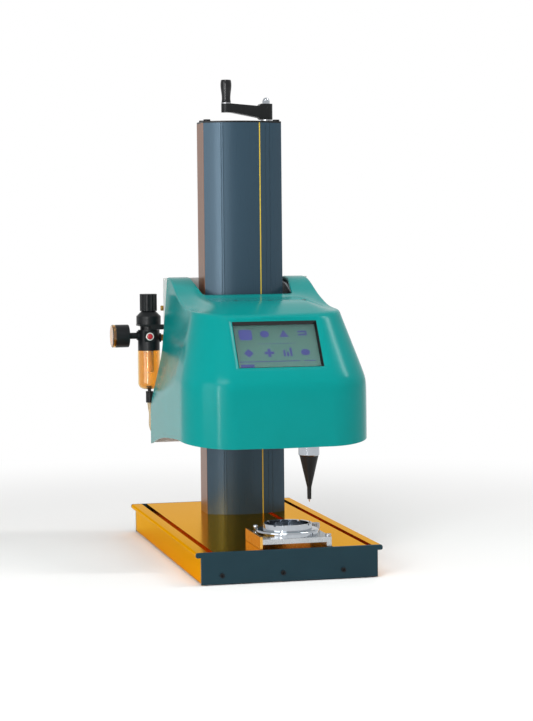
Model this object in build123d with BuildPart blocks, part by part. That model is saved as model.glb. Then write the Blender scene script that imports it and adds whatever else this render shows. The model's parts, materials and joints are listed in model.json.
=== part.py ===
from build123d import *
import math
import os

# Bench impact engraver: a slotted base, a lift column with a hand crank, and a marking head
# that rides on the column and carries a stylus on two crossed slides.
# Own frame: X across, Y to the back, Z up. The origin is on the table, under the base's middle.

os.makedirs("parts", exist_ok=True)

# Fits
run_gap = 0.05
part_gap = 0.3
seat_gap = 0.1
overrun = 1.0

# Base
base_width = 280.0
base_length = 586.0
base_top = 50.4
foot_height = 3.0
foot_radius = 11.0
foot_inset_x = 42.0
foot_inset_y = 34.0
foot_hole_radius = 3.3
lip_overhang = 8.0
lip_height = 8.0
lip_round = 3.0
deck_thickness = 15.0
base_wall = 4.5
base_floor = 3.5
base_rib = 4.0
chamber_count = 4
end_plate_thickness = 5.0
end_plate_lift = 1.0
end_plate_round = 1.2
end_screw_z = 14.5
end_screw_first_x = -108.0
end_screw_spacing = 96.0
end_screw_count = 3
end_screw_radius = 2.0
end_screw_length = 16.0
end_screw_head_radius = 3.6
end_screw_head_height = 2.2
port_radius = 5.0
port_web = 6.0

# T-slots
slot_mouth = 9.0
slot_lip = 4.5
slot_cavity_width = 17.0
slot_cavity_height = 7.5
left_slot_inset = 15.0
right_slot_inset = 13.0
clamp_slot_x = 65.0

# Column
column_x = 26.0
column_half = 69.0
column_corner_y = 123.5
column_bow = 22.0
column_back_y = 176.0
column_wall = 5.0
column_top = 728.0
cap_thickness = 3.0
bolt_radius = 3.3
bolt_head_radius = 6.0
bolt_head_height = 6.0
bolt_reach = 30.0
column_port_radius = 6.5
column_port_inset_x = 8.0
column_port_inset_front = 4.5
column_port_inset_back = 11.0
stripe_offset_x = 26.0
stripe_width = 2.2
stripe_depth = 1.2
line_groove_width = 0.9
line_groove_depth = 0.7
line_offsets = (-41.0, -37.5, 37.0, 45.0)

# Lift screw, crank and guides
screw_offset_x = 49.0
screw_y = 150.0
screw_radius = 7.0
journal_radius = 6.0
screw_end_radius = 4.0
bearing_radius = 12.0
lower_bearing_height = 14.0
upper_bearing_height = 18.0
screw_foot_gap = 2.0
nut_slot_width = 16.0
rail_width = 9.0
rail_height = 6.5
rail_end_margin = 10.0
guide_stack = 11.0
rail_left_offset = -50.0
rail_right_offset = 14.0
runner_width = 20.0
runner_length = 42.0
collar_radius = 10.0
hub_bottom = 732.5
hub_height = 27.0
hub_radius = 11.0
arm_length = 71.0
arm_end_radius = 8.6
arm_thickness = 15.0
arm_root_drop = 4.0
arm_root_rise = 3.0
arm_round = 2.0
dome_nut_radius = 6.6
dome_nut_hex_height = 5.6
dome_nut_height = 11.0
grip_length = 39.0
grip_radius = 9.5
grip_waist_radius = 7.6
grip_top_radius = 8.4
grip_pin_radius = 4.0
grip_pin_head_radius = 6.4
grip_pin_head_height = 3.0
washer_radius = 8.6
washer_height = 1.6

# Head cover
cover_half = 155.0
cover_front_y = -167.0
cover_back_y = column_back_y + guide_stack
cover_corner = 80.0
cover_bow = 2.5
cover_wall = 3.0
crease_z = 296.0
crease_soft = 9.0
screen_tilt = 35.0
side_taper_share = 0.274
back_taper_share = 0.25
crease_front_y = -40.0
crease_fall = 56.0
shoulder_fall = 77.0
mid_drop_share = 0.36
shoulder_z = 404.0
shoulder_soft = 7.0
ear_taper_share = 0.08
corner_taper_share = 0.23
brow_z = 404.0
saddle_y = 96.0
saddle_z = 433.0
ear_z = 460.0
ear_flat_depth = 30.0
cover_front_bottom_z = 192.0
cover_arch_z = 200.0
cover_toe_z = 170.0
cover_edge_round = 3.0
brow_round = 13.0
passage_front_y = 92.0
passage_front_half = 75.0
passage_back_half = 91.0
passage_step_y = 150.0
passage_round = 9.0

# Screen
window_width = 141.0
window_height = 88.0
window_centre_z = 359.0
pocket_depth = 4.5
pocket_flare_x = 15.0
pocket_flare_y = 8.0
pocket_rim = 1.0
pocket_backing = 10.0
bezel_lining = 3.2
bezel_flange = 5.0
bezel_thickness = 2.0
glass_thickness = 1.2
module_thickness = 8.0
board_thickness = 1.6
small_screw_radius = 1.4
small_screw_head_radius = 2.4
small_screw_head_height = 1.6

# Head chassis
rear_plate_thickness = 4.0
rear_plate_half = 129.0
rear_plate_top = 459.0
rear_plate_bottom = 172.0
rear_plate_low_half = 150.0
rear_plate_step_z = 250.0
rear_plate_taper_z = 340.0
side_plate_offset = 80.0
side_plate_thickness = 4.0
side_plate_top = 452.0
cross_plate_y = 82.0
cross_plate_thickness = 5.0
cross_plate_half = 118.0
cross_plate_top = 400.0
tray_z = 203.0
tray_thickness = 3.0
tray_gap = 0.6
tray_window_margin = 9.0
deck_z = 290.0
deck_plate_thickness = 4.0
deck_half = 108.0
deck_front_y = -130.0
nut_radius = 12.0
nut_height = 30.0
nut_z = 300.0
nut_bracket_width = 10.0
runner_float = 1.5
runner_spread = 85.0
side_plate_front_drop = 28.0
post_radius = 5.0
post_first_x = -14.0
post_spacing = 58.5
post_count = 3
post_y = 8.0
cover_screw_radius = 3.4

# Marking slides
stylus_offset_x = 50.0
stylus_y = -120.0
x_travel = 100.0
y_travel = 60.0
slide_rail_height = 6.5
slide_block_height = 8.5
slide_stack = 10.0
y_rail_offset = 70.0
y_block_length = 26.0
y_block_pitch = 34.0
y_block_shift = 14.0
y_rail_end_margin = 22.0
y_plate_half = 85.0
y_plate_depth = 64.0
y_plate_thickness = 5.0
x_rail_offset = 13.0
x_block_length = 18.0
x_block_width = 13.0
x_plate_width = 50.0
x_plate_depth = 50.0
x_plate_thickness = 5.0
drive_screw_radius = 3.0
x_nut_width = 11.0
x_nut_height = 9.4
x_nut_length = 16.0
x_block_pitch = 28.0
x_rail_half = 84.0
drive_nut_width = 16.0
y_screw_offset_x = -97.0
y_screw_drop = 24.0
y_motor_size = 40.0
y_motor_length = 38.0
x_motor_size = 34.0
x_motor_length = 32.0
motor_bracket_thickness = 3.0
bearing_plate_thickness = 4.0

# Stylus
stylus_collar_radius = 17.0
stylus_collar_bottom = 174.0
stylus_collar_top = 207.0
stylus_cone_top_radius = 15.5
stylus_cone_end_radius = 3.6
stylus_cone_bottom = 122.0
stylus_nose_radius = 3.3
stylus_nose_bottom = 103.0
stylus_tip_bottom = 98.0
stylus_pin_radius = 1.6
stylus_tip_length = 4.0
stylus_tip_point_radius = 0.3
stylus_barrel_radius = 14.0
stylus_barrel_wall = 3.0
piston_height = 8.0
piston_bottom = 216.0
holder_width = 38.0
spring_outer_radius = 8.6
spring_sleeve_wall = 1.2
pin_stroke = 4.0

# Filter and regulator
regulator_x = -126.0
regulator_y = 212.0
regulator_body_radius = 19.2
regulator_body_bottom = 332.0
regulator_body_top = 368.0
bonnet_neck_radius = 15.0
bonnet_flange_bottom = 378.0
bonnet_height = 23.0
bonnet_radius = 21.5
bonnet_bevel = 9.0
knob_radius = 15.2
knob_top = 431.0
knob_rib_count = 14
knob_rib_radius = 1.6
knob_wall = 3.0
knob_skirt = 6.0
stem_radius = 3.0
bowl_radius = 19.6
bowl_wall = 2.2
bowl_bottom = 264.0
bowl_round = 11.0
element_radius = 8.0
element_bottom = 293.0
drain_bottom = 240.0
drain_radius = 5.4
drain_rib_radius = 1.1
drain_gap = 4.0
drain_neck_radius = 3.0
drain_rib_count = 8
drain_tube_x = -123.5
drain_tube_radius = 4.0
drain_tube_wall = 1.0
drain_tube_bottom = 199.0
drain_tube_end_x = -119.0
drain_tube_end_z = 188.0
gauge_radius = 20.0
gauge_face_x = -192.0
gauge_depth = 30.0
gauge_axis_z = 358.0
gauge_edge_round = 1.6
gauge_lens_depth = 6.0
gauge_lens_wall = 1.6
gauge_dial_rise = 0.8
gauge_dial_inset = 2.5
gauge_stem_radius = 5.5
needle_length = 13.0
needle_tail = 5.0
needle_width = 1.6
needle_thickness = 0.6
needle_hub_radius = 2.4
needle_shaft_radius = 0.8
needle_gap = 1.0
needle_rest_angle = 225.0
button_z = 357.0
button_offset_x = -1.5
button_boss_width = 18.0
button_inside = 5.0
button_radius = 4.8
button_reach = 5.0
button_travel = 1.5
button_rim_radius = 6.8
button_rim_depth = 2.5
fitting_z = 354.0
fitting_x = -94.0
fitting_hex_radius = 6.5
fitting_hex_length = 4.0
side_boss_radius = 8.0
side_boss_reach = 2.0
bracket_thickness = 3.0
bracket_width = 38.0
bracket_tab_height = 9.0
bracket_tab_reach = 22.0
elbow_x = -97.0
elbow_z = 406.0
elbow_radius = 4.5
elbow_bore = 2.25
elbow_reach_y = 11.0
elbow_reach_x = 9.0

# Rear connectors
connector_x = 127.0
inlet_z = 236.0
inlet_width = 27.0
inlet_height = 20.0
inlet_depth = 18.0
inlet_flange = 6.0
inlet_flange_thickness = 2.5
inlet_well_wall = 2.0
inlet_pin_radius = 1.6
switch_z = 282.0
switch_width = 14.0
switch_height = 20.0
switch_angle = 12.0
switch_frame = 2.5
switch_depth = 12.0
switch_swing_gap = 1.4
rocker_depth = 6.0
data_port_x = -72.0
data_port_z = 236.0
data_port_width = 31.0
data_port_height = 12.5
data_port_depth = 6.0

# Fixture on the base
fixture_x = 10.0
fixture_front_y = -285.0
fixture_depth = 100.0
fixture_left_x = -46.0
fixture_right_x = 67.8
fixture_plate_top = 65.5
fixture_plate_thickness = 8.0
cheek_thickness = 4.0
cheek_top = 69.5
leg_width = 7.8
ring_radius = 49.0
ring_height = 8.5
ring_edge_round = 3.2
turn_ring_radius = 38.4
turn_ring_height = 9.0
turn_ring_bore = 33.0
turn_ring_sink = 4.0
turn_ring_notch_width = 4.0
turn_ring_notch_count = 4
stop_post_x = -33.0
stop_post_y = -199.0
stop_post_radius = 2.6
stop_post_height = 8.0
stop_ball_radius = 3.6
clamp_front_inset = 9.0
clamp_back_inset = 11.0
clamp_screw_radius = 2.5
clamp_head_radius = 4.5
clamp_head_height = 3.5
clamp_knob_radius = 7.5
clamp_knob_height = 9.0
t_nut_length = 14.0
t_nut_height = 5.0

base_half = base_width / 2
extrusion_length = base_length - 2 * end_plate_thickness
deck_bottom = base_top - deck_thickness
foot_spacing_x = base_width - 2 * foot_inset_x
foot_spacing_y = base_length - 2 * foot_inset_y
chamber_width = (base_width - 2 * base_wall - (chamber_count - 1) * base_rib) / chamber_count
chamber_height = deck_bottom - foot_height - base_floor
slot_places = (left_slot_inset - base_half, clamp_slot_x, base_half - right_slot_inset)
end_screw_places = [end_screw_first_x + end_screw_spacing * i for i in range(end_screw_count)]
on_bottom = (Align.CENTER, Align.CENTER, Align.MIN)
on_top = (Align.CENTER, Align.CENTER, Align.MAX)


def base_outline():
    """The base's outer section: a box with a rounded lip along each top edge."""
    with Locations((0, (base_top + foot_height) / 2)):
        Rectangle(base_width, base_top - foot_height)
    with Locations((0, base_top - lip_height / 2)):
        RectangleRounded(base_width + 2 * lip_overhang, lip_height, lip_round)


# Base extrusion
with BuildPart() as base_extrusion:
    with BuildSketch(Plane.XZ.offset(-extrusion_length / 2)):
        base_outline()
        with Locations((0, foot_height + base_floor + chamber_height / 2)):
            with GridLocations(chamber_width + base_rib, 0, chamber_count, 1):
                Rectangle(chamber_width, chamber_height, mode=Mode.SUBTRACT)
        with Locations(*[(x, (foot_height + end_screw_z) / 2) for x in end_screw_places]):
            Rectangle(port_web, end_screw_z - foot_height)
        with Locations(*[(x, end_screw_z) for x in end_screw_places]):
            Circle(port_radius)
            Circle(end_screw_radius + seat_gap, mode=Mode.SUBTRACT)
        with Locations(*[(x, base_top) for x in slot_places]):
            Rectangle(slot_mouth, 2 * slot_lip, mode=Mode.SUBTRACT)
        with Locations(*[(x, base_top - slot_lip - slot_cavity_height / 2) for x in slot_places]):
            Rectangle(slot_cavity_width, slot_cavity_height, mode=Mode.SUBTRACT)
    extrude(amount=extrusion_length)
    column_bolt_places = [
        (column_x + side * (column_half - column_port_inset_x), y)
        for side in (-1, 1)
        for y in (column_corner_y + column_port_inset_front, column_back_y - column_port_inset_back)
    ]
    with Locations(*[(x, y, base_top) for x, y in column_bolt_places]):
        Cylinder(bolt_radius + seat_gap, deck_thickness, align=on_top, mode=Mode.SUBTRACT)
    with Locations(*[(x, y, foot_height) for x, y in column_bolt_places]):
        Cylinder(bolt_head_radius + overrun, base_floor, align=on_bottom, mode=Mode.SUBTRACT)
    with Locations((0, 0, foot_height)):
        with GridLocations(foot_spacing_x, foot_spacing_y, 2, 2):
            Cylinder(foot_hole_radius, base_floor, align=on_bottom, mode=Mode.SUBTRACT)
base_extrusion.part.label = "base_extrusion"
export_step(base_extrusion.part, "parts/base_extrusion.step")

# End plates, which repeat the base's outline and reach down almost to the table
plate_inner_y = extrusion_length / 2
with BuildPart() as end_plates:
    for facing in (-1, 1):
        with BuildSketch(Plane.XZ.offset(-facing * plate_inner_y)):
            base_outline()
            with Locations((0, (base_top + end_plate_lift) / 2)):
                Rectangle(base_width, base_top - end_plate_lift)
            with Locations(*[(x, end_screw_z) for x in end_screw_places]):
                Circle(end_screw_radius + seat_gap, mode=Mode.SUBTRACT)
        extrude(amount=-facing * end_plate_thickness)
        outer_face = end_plates.faces().filter_by(Axis.Y).sort_by(Axis.Y)[-1 if facing > 0 else 0]
        fillet(outer_face.outer_wire().edges().filter_by(GeomType.LINE), radius=end_plate_round)
end_plates.part.label = "end_plates"
export_step(end_plates.part, "parts/end_plates.step")

# Screws of the frame: first those that hold both end plates in the extrusion's ports
with BuildPart() as frame_screws:
    for facing in (-1, 1):
        with BuildSketch(Plane.XZ.offset(-facing * base_length / 2)):
            with Locations(*[(x, end_screw_z) for x in end_screw_places]):
                Circle(end_screw_radius)
        extrude(amount=facing * end_screw_length)
        with BuildSketch(Plane.XZ.offset(-facing * base_length / 2)):
            with Locations(*[(x, end_screw_z) for x in end_screw_places]):
                Circle(end_screw_head_radius)
                RegularPolygon(end_screw_radius, side_count=6, mode=Mode.SUBTRACT)
        extrude(amount=-facing * end_screw_head_height)

# Rubber feet, each a ring that a bolt from under the bench can pass through
with BuildPart() as rubber_feet:
    with GridLocations(foot_spacing_x, foot_spacing_y, 2, 2):
        Cylinder(foot_radius, foot_height, align=on_bottom)
        Cylinder(foot_hole_radius, foot_height, align=on_bottom, mode=Mode.SUBTRACT)
rubber_feet.part.label = "rubber_feet"
export_step(rubber_feet.part, "parts/rubber_feet.step")

# Column: the front is bowed towards the operator
column_left = column_x - column_half
column_right = column_x + column_half
cap_bottom = column_top - cap_thickness
bow_radius = (column_half**2 + column_bow**2) / (2 * column_bow)
screw_x = column_x + screw_offset_x


def bow_y(offset_x):
    """Depth of the bowed front at a distance from the column's middle."""
    rise = bow_radius - math.sqrt(bow_radius**2 - offset_x**2)
    return column_corner_y - column_bow + rise


def column_outline():
    """The column's outer section."""
    with BuildLine() as outline:
        Polyline(
            (column_left, column_corner_y),
            (column_left, column_back_y),
            (column_right, column_back_y),
            (column_right, column_corner_y),
        )
        ThreePointArc(
            (column_right, column_corner_y),
            (column_x, column_corner_y - column_bow),
            (column_left, column_corner_y),
        )
    make_face(outline.edges())


def front_groove(offset_x, width, depth):
    """A groove of one width and depth in the bowed front."""
    with Locations((column_x + offset_x, bow_y(offset_x) + (depth - overrun) / 2)):
        Rectangle(width, depth + overrun, mode=Mode.SUBTRACT)


with BuildPart() as column_extrusion:
    with BuildSketch(Plane.XY.offset(base_top)):
        column_outline()
        offset(amount=-column_wall, kind=Kind.INTERSECTION, mode=Mode.SUBTRACT)
        with Locations(*column_bolt_places):
            Circle(column_port_radius)
            Circle(bolt_radius + seat_gap, mode=Mode.SUBTRACT)
        with Locations((screw_x, column_back_y - column_wall / 2)):
            Rectangle(nut_slot_width, column_wall + 2 * overrun, mode=Mode.SUBTRACT)
        front_groove(stripe_offset_x, stripe_width, stripe_depth)
        for line_offset in line_offsets:
            front_groove(line_offset, line_groove_width, line_groove_depth)
    extrude(amount=cap_bottom - base_top)
column_extrusion.part.label = "column_extrusion"
export_step(column_extrusion.part, "parts/column_extrusion.step")

with BuildPart() as column_stripe:
    with BuildSketch(Plane.XY.offset(base_top)):
        with Locations((column_x + stripe_offset_x, bow_y(stripe_offset_x) + stripe_depth / 2)):
            Rectangle(stripe_width - 2 * seat_gap, stripe_depth)
    extrude(amount=cap_bottom - base_top)
column_stripe.part.label = "column_stripe"
export_step(column_stripe.part, "parts/column_stripe.step")

with BuildPart() as column_top_cap:
    with BuildSketch(Plane.XY.offset(cap_bottom)):
        column_outline()
        with Locations(*column_bolt_places):
            Circle(bolt_radius + seat_gap, mode=Mode.SUBTRACT)
        with Locations((screw_x, screw_y)):
            Circle(journal_radius + run_gap, mode=Mode.SUBTRACT)
    extrude(amount=cap_thickness)
column_top_cap.part.label = "column_top_cap"
export_step(column_top_cap.part, "parts/column_top_cap.step")

# Bolts of the column: up through the base's deck, and down through the cap
with frame_screws:
    with Locations(*[(x, y, deck_bottom) for x, y in column_bolt_places]):
        Cylinder(bolt_radius, deck_thickness + bolt_reach, align=on_bottom)
        Cylinder(bolt_head_radius, bolt_head_height, align=on_top)
    with Locations(*[(x, y, column_top) for x, y in column_bolt_places]):
        Cylinder(bolt_radius, cap_thickness + bolt_reach / 2, align=on_top)
        Cylinder(bolt_head_radius, bolt_head_height / 2, align=on_bottom)
    with BuildSketch(Plane.XY.offset(column_top + bolt_head_height / 2)):
        with Locations(*column_bolt_places):
            RegularPolygon(bolt_radius, side_count=6)
    extrude(amount=-bolt_head_height / 3, mode=Mode.SUBTRACT)
frame_screws.part.label = "frame_screws"
export_step(frame_screws.part, "parts/frame_screws.step")

# Bearings of the lift screw: one stands on the base, the other hangs from the cap
with BuildPart() as screw_bearings:
    with Locations((screw_x, screw_y, base_top)):
        Cylinder(bearing_radius, lower_bearing_height, align=on_bottom)
        Cylinder(screw_radius + run_gap, lower_bearing_height, align=on_bottom, mode=Mode.SUBTRACT)
    with Locations((screw_x, screw_y, cap_bottom)):
        Cylinder(bearing_radius, upper_bearing_height, align=on_top)
        Cylinder(journal_radius + run_gap, upper_bearing_height, align=on_top, mode=Mode.SUBTRACT)
screw_bearings.part.label = "screw_bearings"
export_step(screw_bearings.part, "parts/screw_bearings.step")

# Guide rails on the column's back
rail_places = (column_x + rail_left_offset, column_x + rail_right_offset)
rail_bottom = base_top + rail_end_margin
rail_length = cap_bottom - rail_end_margin - rail_bottom
with BuildPart() as guide_rails:
    with Locations(*[(x, column_back_y + rail_height / 2, rail_bottom) for x in rail_places]):
        Box(rail_width, rail_height, rail_length, align=on_bottom)
guide_rails.part.label = "guide_rails"
export_step(guide_rails.part, "parts/guide_rails.step")

# Lift screw, with the journal that carries the crank
screw_bottom = base_top + screw_foot_gap
screw_shoulder = cap_bottom - upper_bearing_height - part_gap
hub_top = hub_bottom + hub_height
with BuildPart() as lead_screw:
    with Locations((screw_x, screw_y, screw_bottom)):
        Cylinder(screw_radius, screw_shoulder - screw_bottom, align=on_bottom)
    with Locations((screw_x, screw_y, screw_shoulder)):
        Cylinder(journal_radius, hub_bottom + hub_height / 2 - screw_shoulder, align=on_bottom)
    with Locations((screw_x, screw_y, column_top + part_gap)):
        Cylinder(collar_radius, hub_bottom - column_top - part_gap, align=on_bottom)
    with Locations((screw_x, screw_y, hub_bottom + hub_height / 2)):
        Cylinder(screw_end_radius, hub_height / 2 + dome_nut_hex_height, align=on_bottom)
lead_screw.part.label = "lead_screw"
export_step(lead_screw.part, "parts/lead_screw.step")

# Crank arm towards -X: deep at the hub, with sloped shoulders, thinner and higher at the grip
grip_x = screw_x - arm_length
arm_top = hub_top
shoulder_x = screw_x - hub_radius
with BuildPart() as crank_arm:
    with BuildSketch(Plane.XY.offset(hub_bottom)):
        with Locations((screw_x, screw_y)):
            Circle(hub_radius)
        with Locations((grip_x, screw_y)):
            Circle(arm_end_radius)
        make_hull()
    extrude(amount=hub_height)
    with BuildSketch(Plane.XZ.offset(-screw_y)):
        Polygon(
            (grip_x - arm_end_radius, arm_top),
            (grip_x + arm_end_radius, arm_top),
            (shoulder_x - arm_root_drop, hub_top - arm_root_drop),
            (shoulder_x, hub_top),
            (screw_x + hub_radius, hub_top),
            (screw_x + hub_radius, hub_bottom),
            (shoulder_x, hub_bottom),
            (shoulder_x - arm_root_rise, hub_bottom + arm_root_rise),
            (grip_x + arm_end_radius, arm_top - arm_thickness),
            (grip_x - arm_end_radius, arm_top - arm_thickness),
            align=None,
        )
    extrude(amount=hub_radius, both=True, mode=Mode.INTERSECT)
    with Locations((screw_x, screw_y, hub_bottom)):
        Cylinder(journal_radius, hub_height / 2, align=on_bottom, mode=Mode.SUBTRACT)
        Cylinder(screw_end_radius, hub_height, align=on_bottom, mode=Mode.SUBTRACT)
    with Locations((grip_x, screw_y, arm_top)):
        Cylinder(grip_pin_radius, arm_thickness + overrun, align=on_top, mode=Mode.SUBTRACT)
crank_arm.part.label = "crank_arm"
export_step(crank_arm.part, "parts/crank_arm.step")

# Domed nut on the end of the lift screw
with BuildPart() as crank_nut:
    with BuildSketch(Plane.XY.offset(hub_top)):
        with Locations((screw_x, screw_y)):
            RegularPolygon(dome_nut_radius, side_count=6)
    extrude(amount=dome_nut_hex_height)
    dome_rise = dome_nut_height - dome_nut_hex_height
    dome_base = dome_nut_radius * math.cos(math.pi / 6)
    with BuildSketch(Plane.XZ.offset(-screw_y)):
        with BuildLine():
            Polyline(
                (screw_x, hub_top + dome_nut_height),
                (screw_x, hub_top + dome_nut_hex_height),
                (screw_x + dome_base, hub_top + dome_nut_hex_height),
            )
            EllipticalCenterArc(
                (screw_x, hub_top + dome_nut_hex_height), dome_base, dome_rise, arc_size=90
            )
        make_face()
    revolve(axis=Axis((screw_x, screw_y, 0), (0, 0, 1)))
    with Locations((screw_x, screw_y, hub_top)):
        Cylinder(screw_end_radius, dome_nut_hex_height, align=on_bottom, mode=Mode.SUBTRACT)
crank_nut.part.label = "crank_nut"
export_step(crank_nut.part, "parts/crank_nut.step")

# Pin and washer that carry the turning grip
grip_bottom = arm_top + washer_height + part_gap
grip_top = grip_bottom + grip_length
with BuildPart() as grip_pin:
    with Locations((grip_x, screw_y, arm_top - arm_thickness)):
        Cylinder(grip_pin_radius, grip_top - arm_top + arm_thickness - part_gap, align=on_bottom)
    with Locations((grip_x, screw_y, arm_top)):
        Cylinder(washer_radius, washer_height, align=on_bottom)
    with Locations((grip_x, screw_y, grip_top - part_gap)):
        Cylinder(grip_pin_head_radius, grip_pin_head_height, align=on_top)
grip_pin.part.label = "grip_pin"
export_step(grip_pin.part, "parts/grip_pin.step")

waist_z_share = 0.26
swell_z_share = 0.74
with BuildPart() as handle_grip:
    with BuildSketch(Plane.XZ.offset(-screw_y)):
        with BuildLine():
            Polyline(
                (grip_x + grip_top_radius, grip_bottom),
                (grip_x, grip_bottom),
                (grip_x, grip_top),
                (grip_x + grip_top_radius, grip_top),
            )
            Spline(
                (grip_x + grip_top_radius, grip_bottom),
                (grip_x + grip_waist_radius, grip_bottom + waist_z_share * grip_length),
                (grip_x + grip_radius, grip_bottom + swell_z_share * grip_length),
                (grip_x + grip_top_radius, grip_top),
            )
        make_face()
    revolve(axis=Axis((grip_x, screw_y, 0), (0, 0, 1)))
    with Locations((grip_x, screw_y, grip_top)):
        Cylinder(
            grip_pin_head_radius + part_gap, grip_pin_head_height + 2 * part_gap,
            align=on_top, mode=Mode.SUBTRACT,
        )
        Cylinder(grip_pin_radius + run_gap, grip_length, align=on_top, mode=Mode.SUBTRACT)
    fillet(handle_grip.edges().filter_by(GeomType.CIRCLE).group_by(Axis.Z)[-1].sort_by(SortBy.RADIUS)[-1],
           radius=arm_round / 2)
handle_grip.part.label = "handle_grip"
export_step(handle_grip.part, "parts/handle_grip.step")

# Head cover: level sections that narrow and lean back above the crease
screen_lean = math.tan(math.radians(screen_tilt))


def soft_rise(level, corner_level, softness):
    """Height above a corner level, with the corner itself rounded off."""
    above = level - corner_level
    return (above + math.hypot(above, softness)) / 2


def side_half(level, y):
    """Half width of the cover at a level and depth: the side's crease falls towards the back."""
    back_share = min(max((y - crease_front_y) / (cover_back_y - crease_front_y), 0), 1)
    crease_level = crease_z - crease_fall * back_share
    upper_level = shoulder_z - shoulder_fall * back_share
    lean_share = side_taper_share - (side_taper_share - back_taper_share) * back_share
    upper_soft = shoulder_soft * (1 + back_share)
    half = cover_half - lean_share * soft_rise(level, crease_level, crease_soft)
    return half + (lean_share - ear_taper_share) * soft_rise(level, upper_level, upper_soft)


def cover_section(level, inset):
    """One level section of the cover, drawn in by a wall thickness."""
    above_crease = soft_rise(level, crease_z, crease_soft)
    front = cover_front_y + screen_lean * above_crease + inset
    corner = cover_corner - corner_taper_share * above_crease - inset
    mid_corner = corner * (1 - math.sqrt(0.5))
    corner_y = front + cover_bow + corner
    half = side_half(level, corner_y) - inset
    back_half = side_half(level, cover_back_y) - inset
    with BuildSketch(Plane.XY.offset(level)) as section:
        with BuildLine():
            Polyline(
                (column_x - half, corner_y),
                (column_x - back_half, cover_back_y),
                (column_x + back_half, cover_back_y),
                (column_x + half, corner_y),
            )
            ThreePointArc(
                (column_x + half, corner_y),
                (column_x + half - mid_corner, front + cover_bow + mid_corner),
                (column_x + half - corner, front + cover_bow),
            )
            ThreePointArc(
                (column_x + half - corner, front + cover_bow),
                (column_x, front),
                (column_x - half + corner, front + cover_bow),
            )
            ThreePointArc(
                (column_x - half + corner, front + cover_bow),
                (column_x - half + mid_corner, front + cover_bow + mid_corner),
                (column_x - half, corner_y),
            )
        make_face()
    return section.sketch


bend_shares = (-2.6, -1.4, -0.6, 0, 0.6, 1.4, 2.6)
cover_levels = [cover_toe_z - overrun]
cover_levels += [crease_z - share * crease_fall for share in (1.4, 1, 0.7)]
cover_levels += [crease_z + share * crease_soft for share in bend_shares]
cover_levels += [shoulder_z - share * shoulder_fall for share in (1, 0.6)]
cover_levels += [shoulder_z + share * shoulder_soft for share in bend_shares]
cover_levels += [ear_z + brow_round]
top_curve_points = [
    (cover_back_y + brow_round, ear_z),
    (cover_back_y - ear_flat_depth, ear_z - cover_wall),
    (saddle_y, saddle_z),
    (0, saddle_z - (saddle_z - brow_z) * mid_drop_share),
    (cover_front_y / 2, brow_z),
    (cover_front_y, brow_z - 2 * brow_round),
]
arch_points = [
    (cover_back_y + overrun, cover_toe_z),
    (saddle_y, (cover_toe_z + cover_arch_z) / 2 + cover_wall),
    (0, cover_arch_z - cover_wall),
    (cover_front_y / 2, cover_arch_z),
    (cover_front_y, cover_front_bottom_z),
]
cover_reach = cover_half + cover_edge_round


def cut_above_the_top(drop):
    """Takes away everything above the cover's top curve, lowered by a wall thickness."""
    points = [(y, z - drop) for y, z in top_curve_points]
    ceiling = ear_z + 2 * brow_round
    with BuildSketch(Plane.YZ.offset(column_x - cover_reach)) as region:
        with BuildLine():
            Spline(*points)
            Polyline(points[-1], (points[-1][0] - brow_round, ceiling), (points[0][0], ceiling), points[0])
        make_face()
    extrude(region.sketch.face(), amount=2 * cover_reach, dir=(1, 0, 0), mode=Mode.SUBTRACT)


def passage_outline(widening):
    """The opening in the cover's back through which the column passes."""
    front_half = passage_front_half + widening
    back_half = passage_back_half + widening
    with BuildLine() as outline:
        FilletPolyline(
            (column_x - back_half, cover_back_y + brow_round),
            (column_x - back_half, passage_step_y),
            (column_x - front_half, passage_front_y),
            (column_x + front_half, passage_front_y),
            (column_x + back_half, passage_step_y),
            (column_x + back_half, cover_back_y + brow_round),
            radius=passage_round,
            close=True,
        )
    make_face(outline.edges())


screen_plane = Plane(
    origin=(
        column_x,
        cover_front_y + screen_lean * (window_centre_z - crease_z),
        window_centre_z,
    ),
    x_dir=(1, 0, 0),
    z_dir=(0, -math.cos(math.radians(screen_tilt)), math.sin(math.radians(screen_tilt))),
)
pocket_plane = screen_plane.offset(-pocket_depth)

# The solid outer shape of the cover
with BuildPart() as cover_solid:
    for cover_level in cover_levels:
        add(cover_section(cover_level, 0))
    loft(ruled=True)
    cut_above_the_top(0)
    top_face = cover_solid.faces().filter_by(GeomType.EXTRUSION).sort_by(SortBy.AREA)[-1]
    top_rim = top_face.outer_wire().edges()
    fillet(top_rim.filter_by(lambda edge: edge.center().Y < cover_back_y - overrun), radius=cover_edge_round)
    with BuildSketch(Plane.YZ.offset(column_x - cover_reach)):
        with BuildLine():
            Spline(*arch_points)
            Polyline(
                arch_points[-1],
                (arch_points[-1][0] - brow_round, arch_points[-1][1]),
                (arch_points[-1][0] - brow_round, cover_toe_z - 2 * brow_round),
                (arch_points[0][0], cover_toe_z - 2 * brow_round),
                arch_points[0],
            )
        make_face()
    extrude(amount=2 * cover_reach, mode=Mode.SUBTRACT)

# The hollow inside it: the same sections drawn in, with backing left behind the screen
with BuildPart() as cover_hollow:
    for cover_level in cover_levels:
        add(cover_section(cover_level, cover_wall))
    loft(ruled=True)
    cut_above_the_top(cover_wall)
    with BuildSketch(screen_plane.offset(-pocket_depth - cover_wall)):
        Rectangle(window_width + 2 * pocket_flare_x, window_height + 2 * pocket_backing)
    extrude(amount=pocket_depth + 2 * cover_wall, mode=Mode.SUBTRACT)

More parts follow.
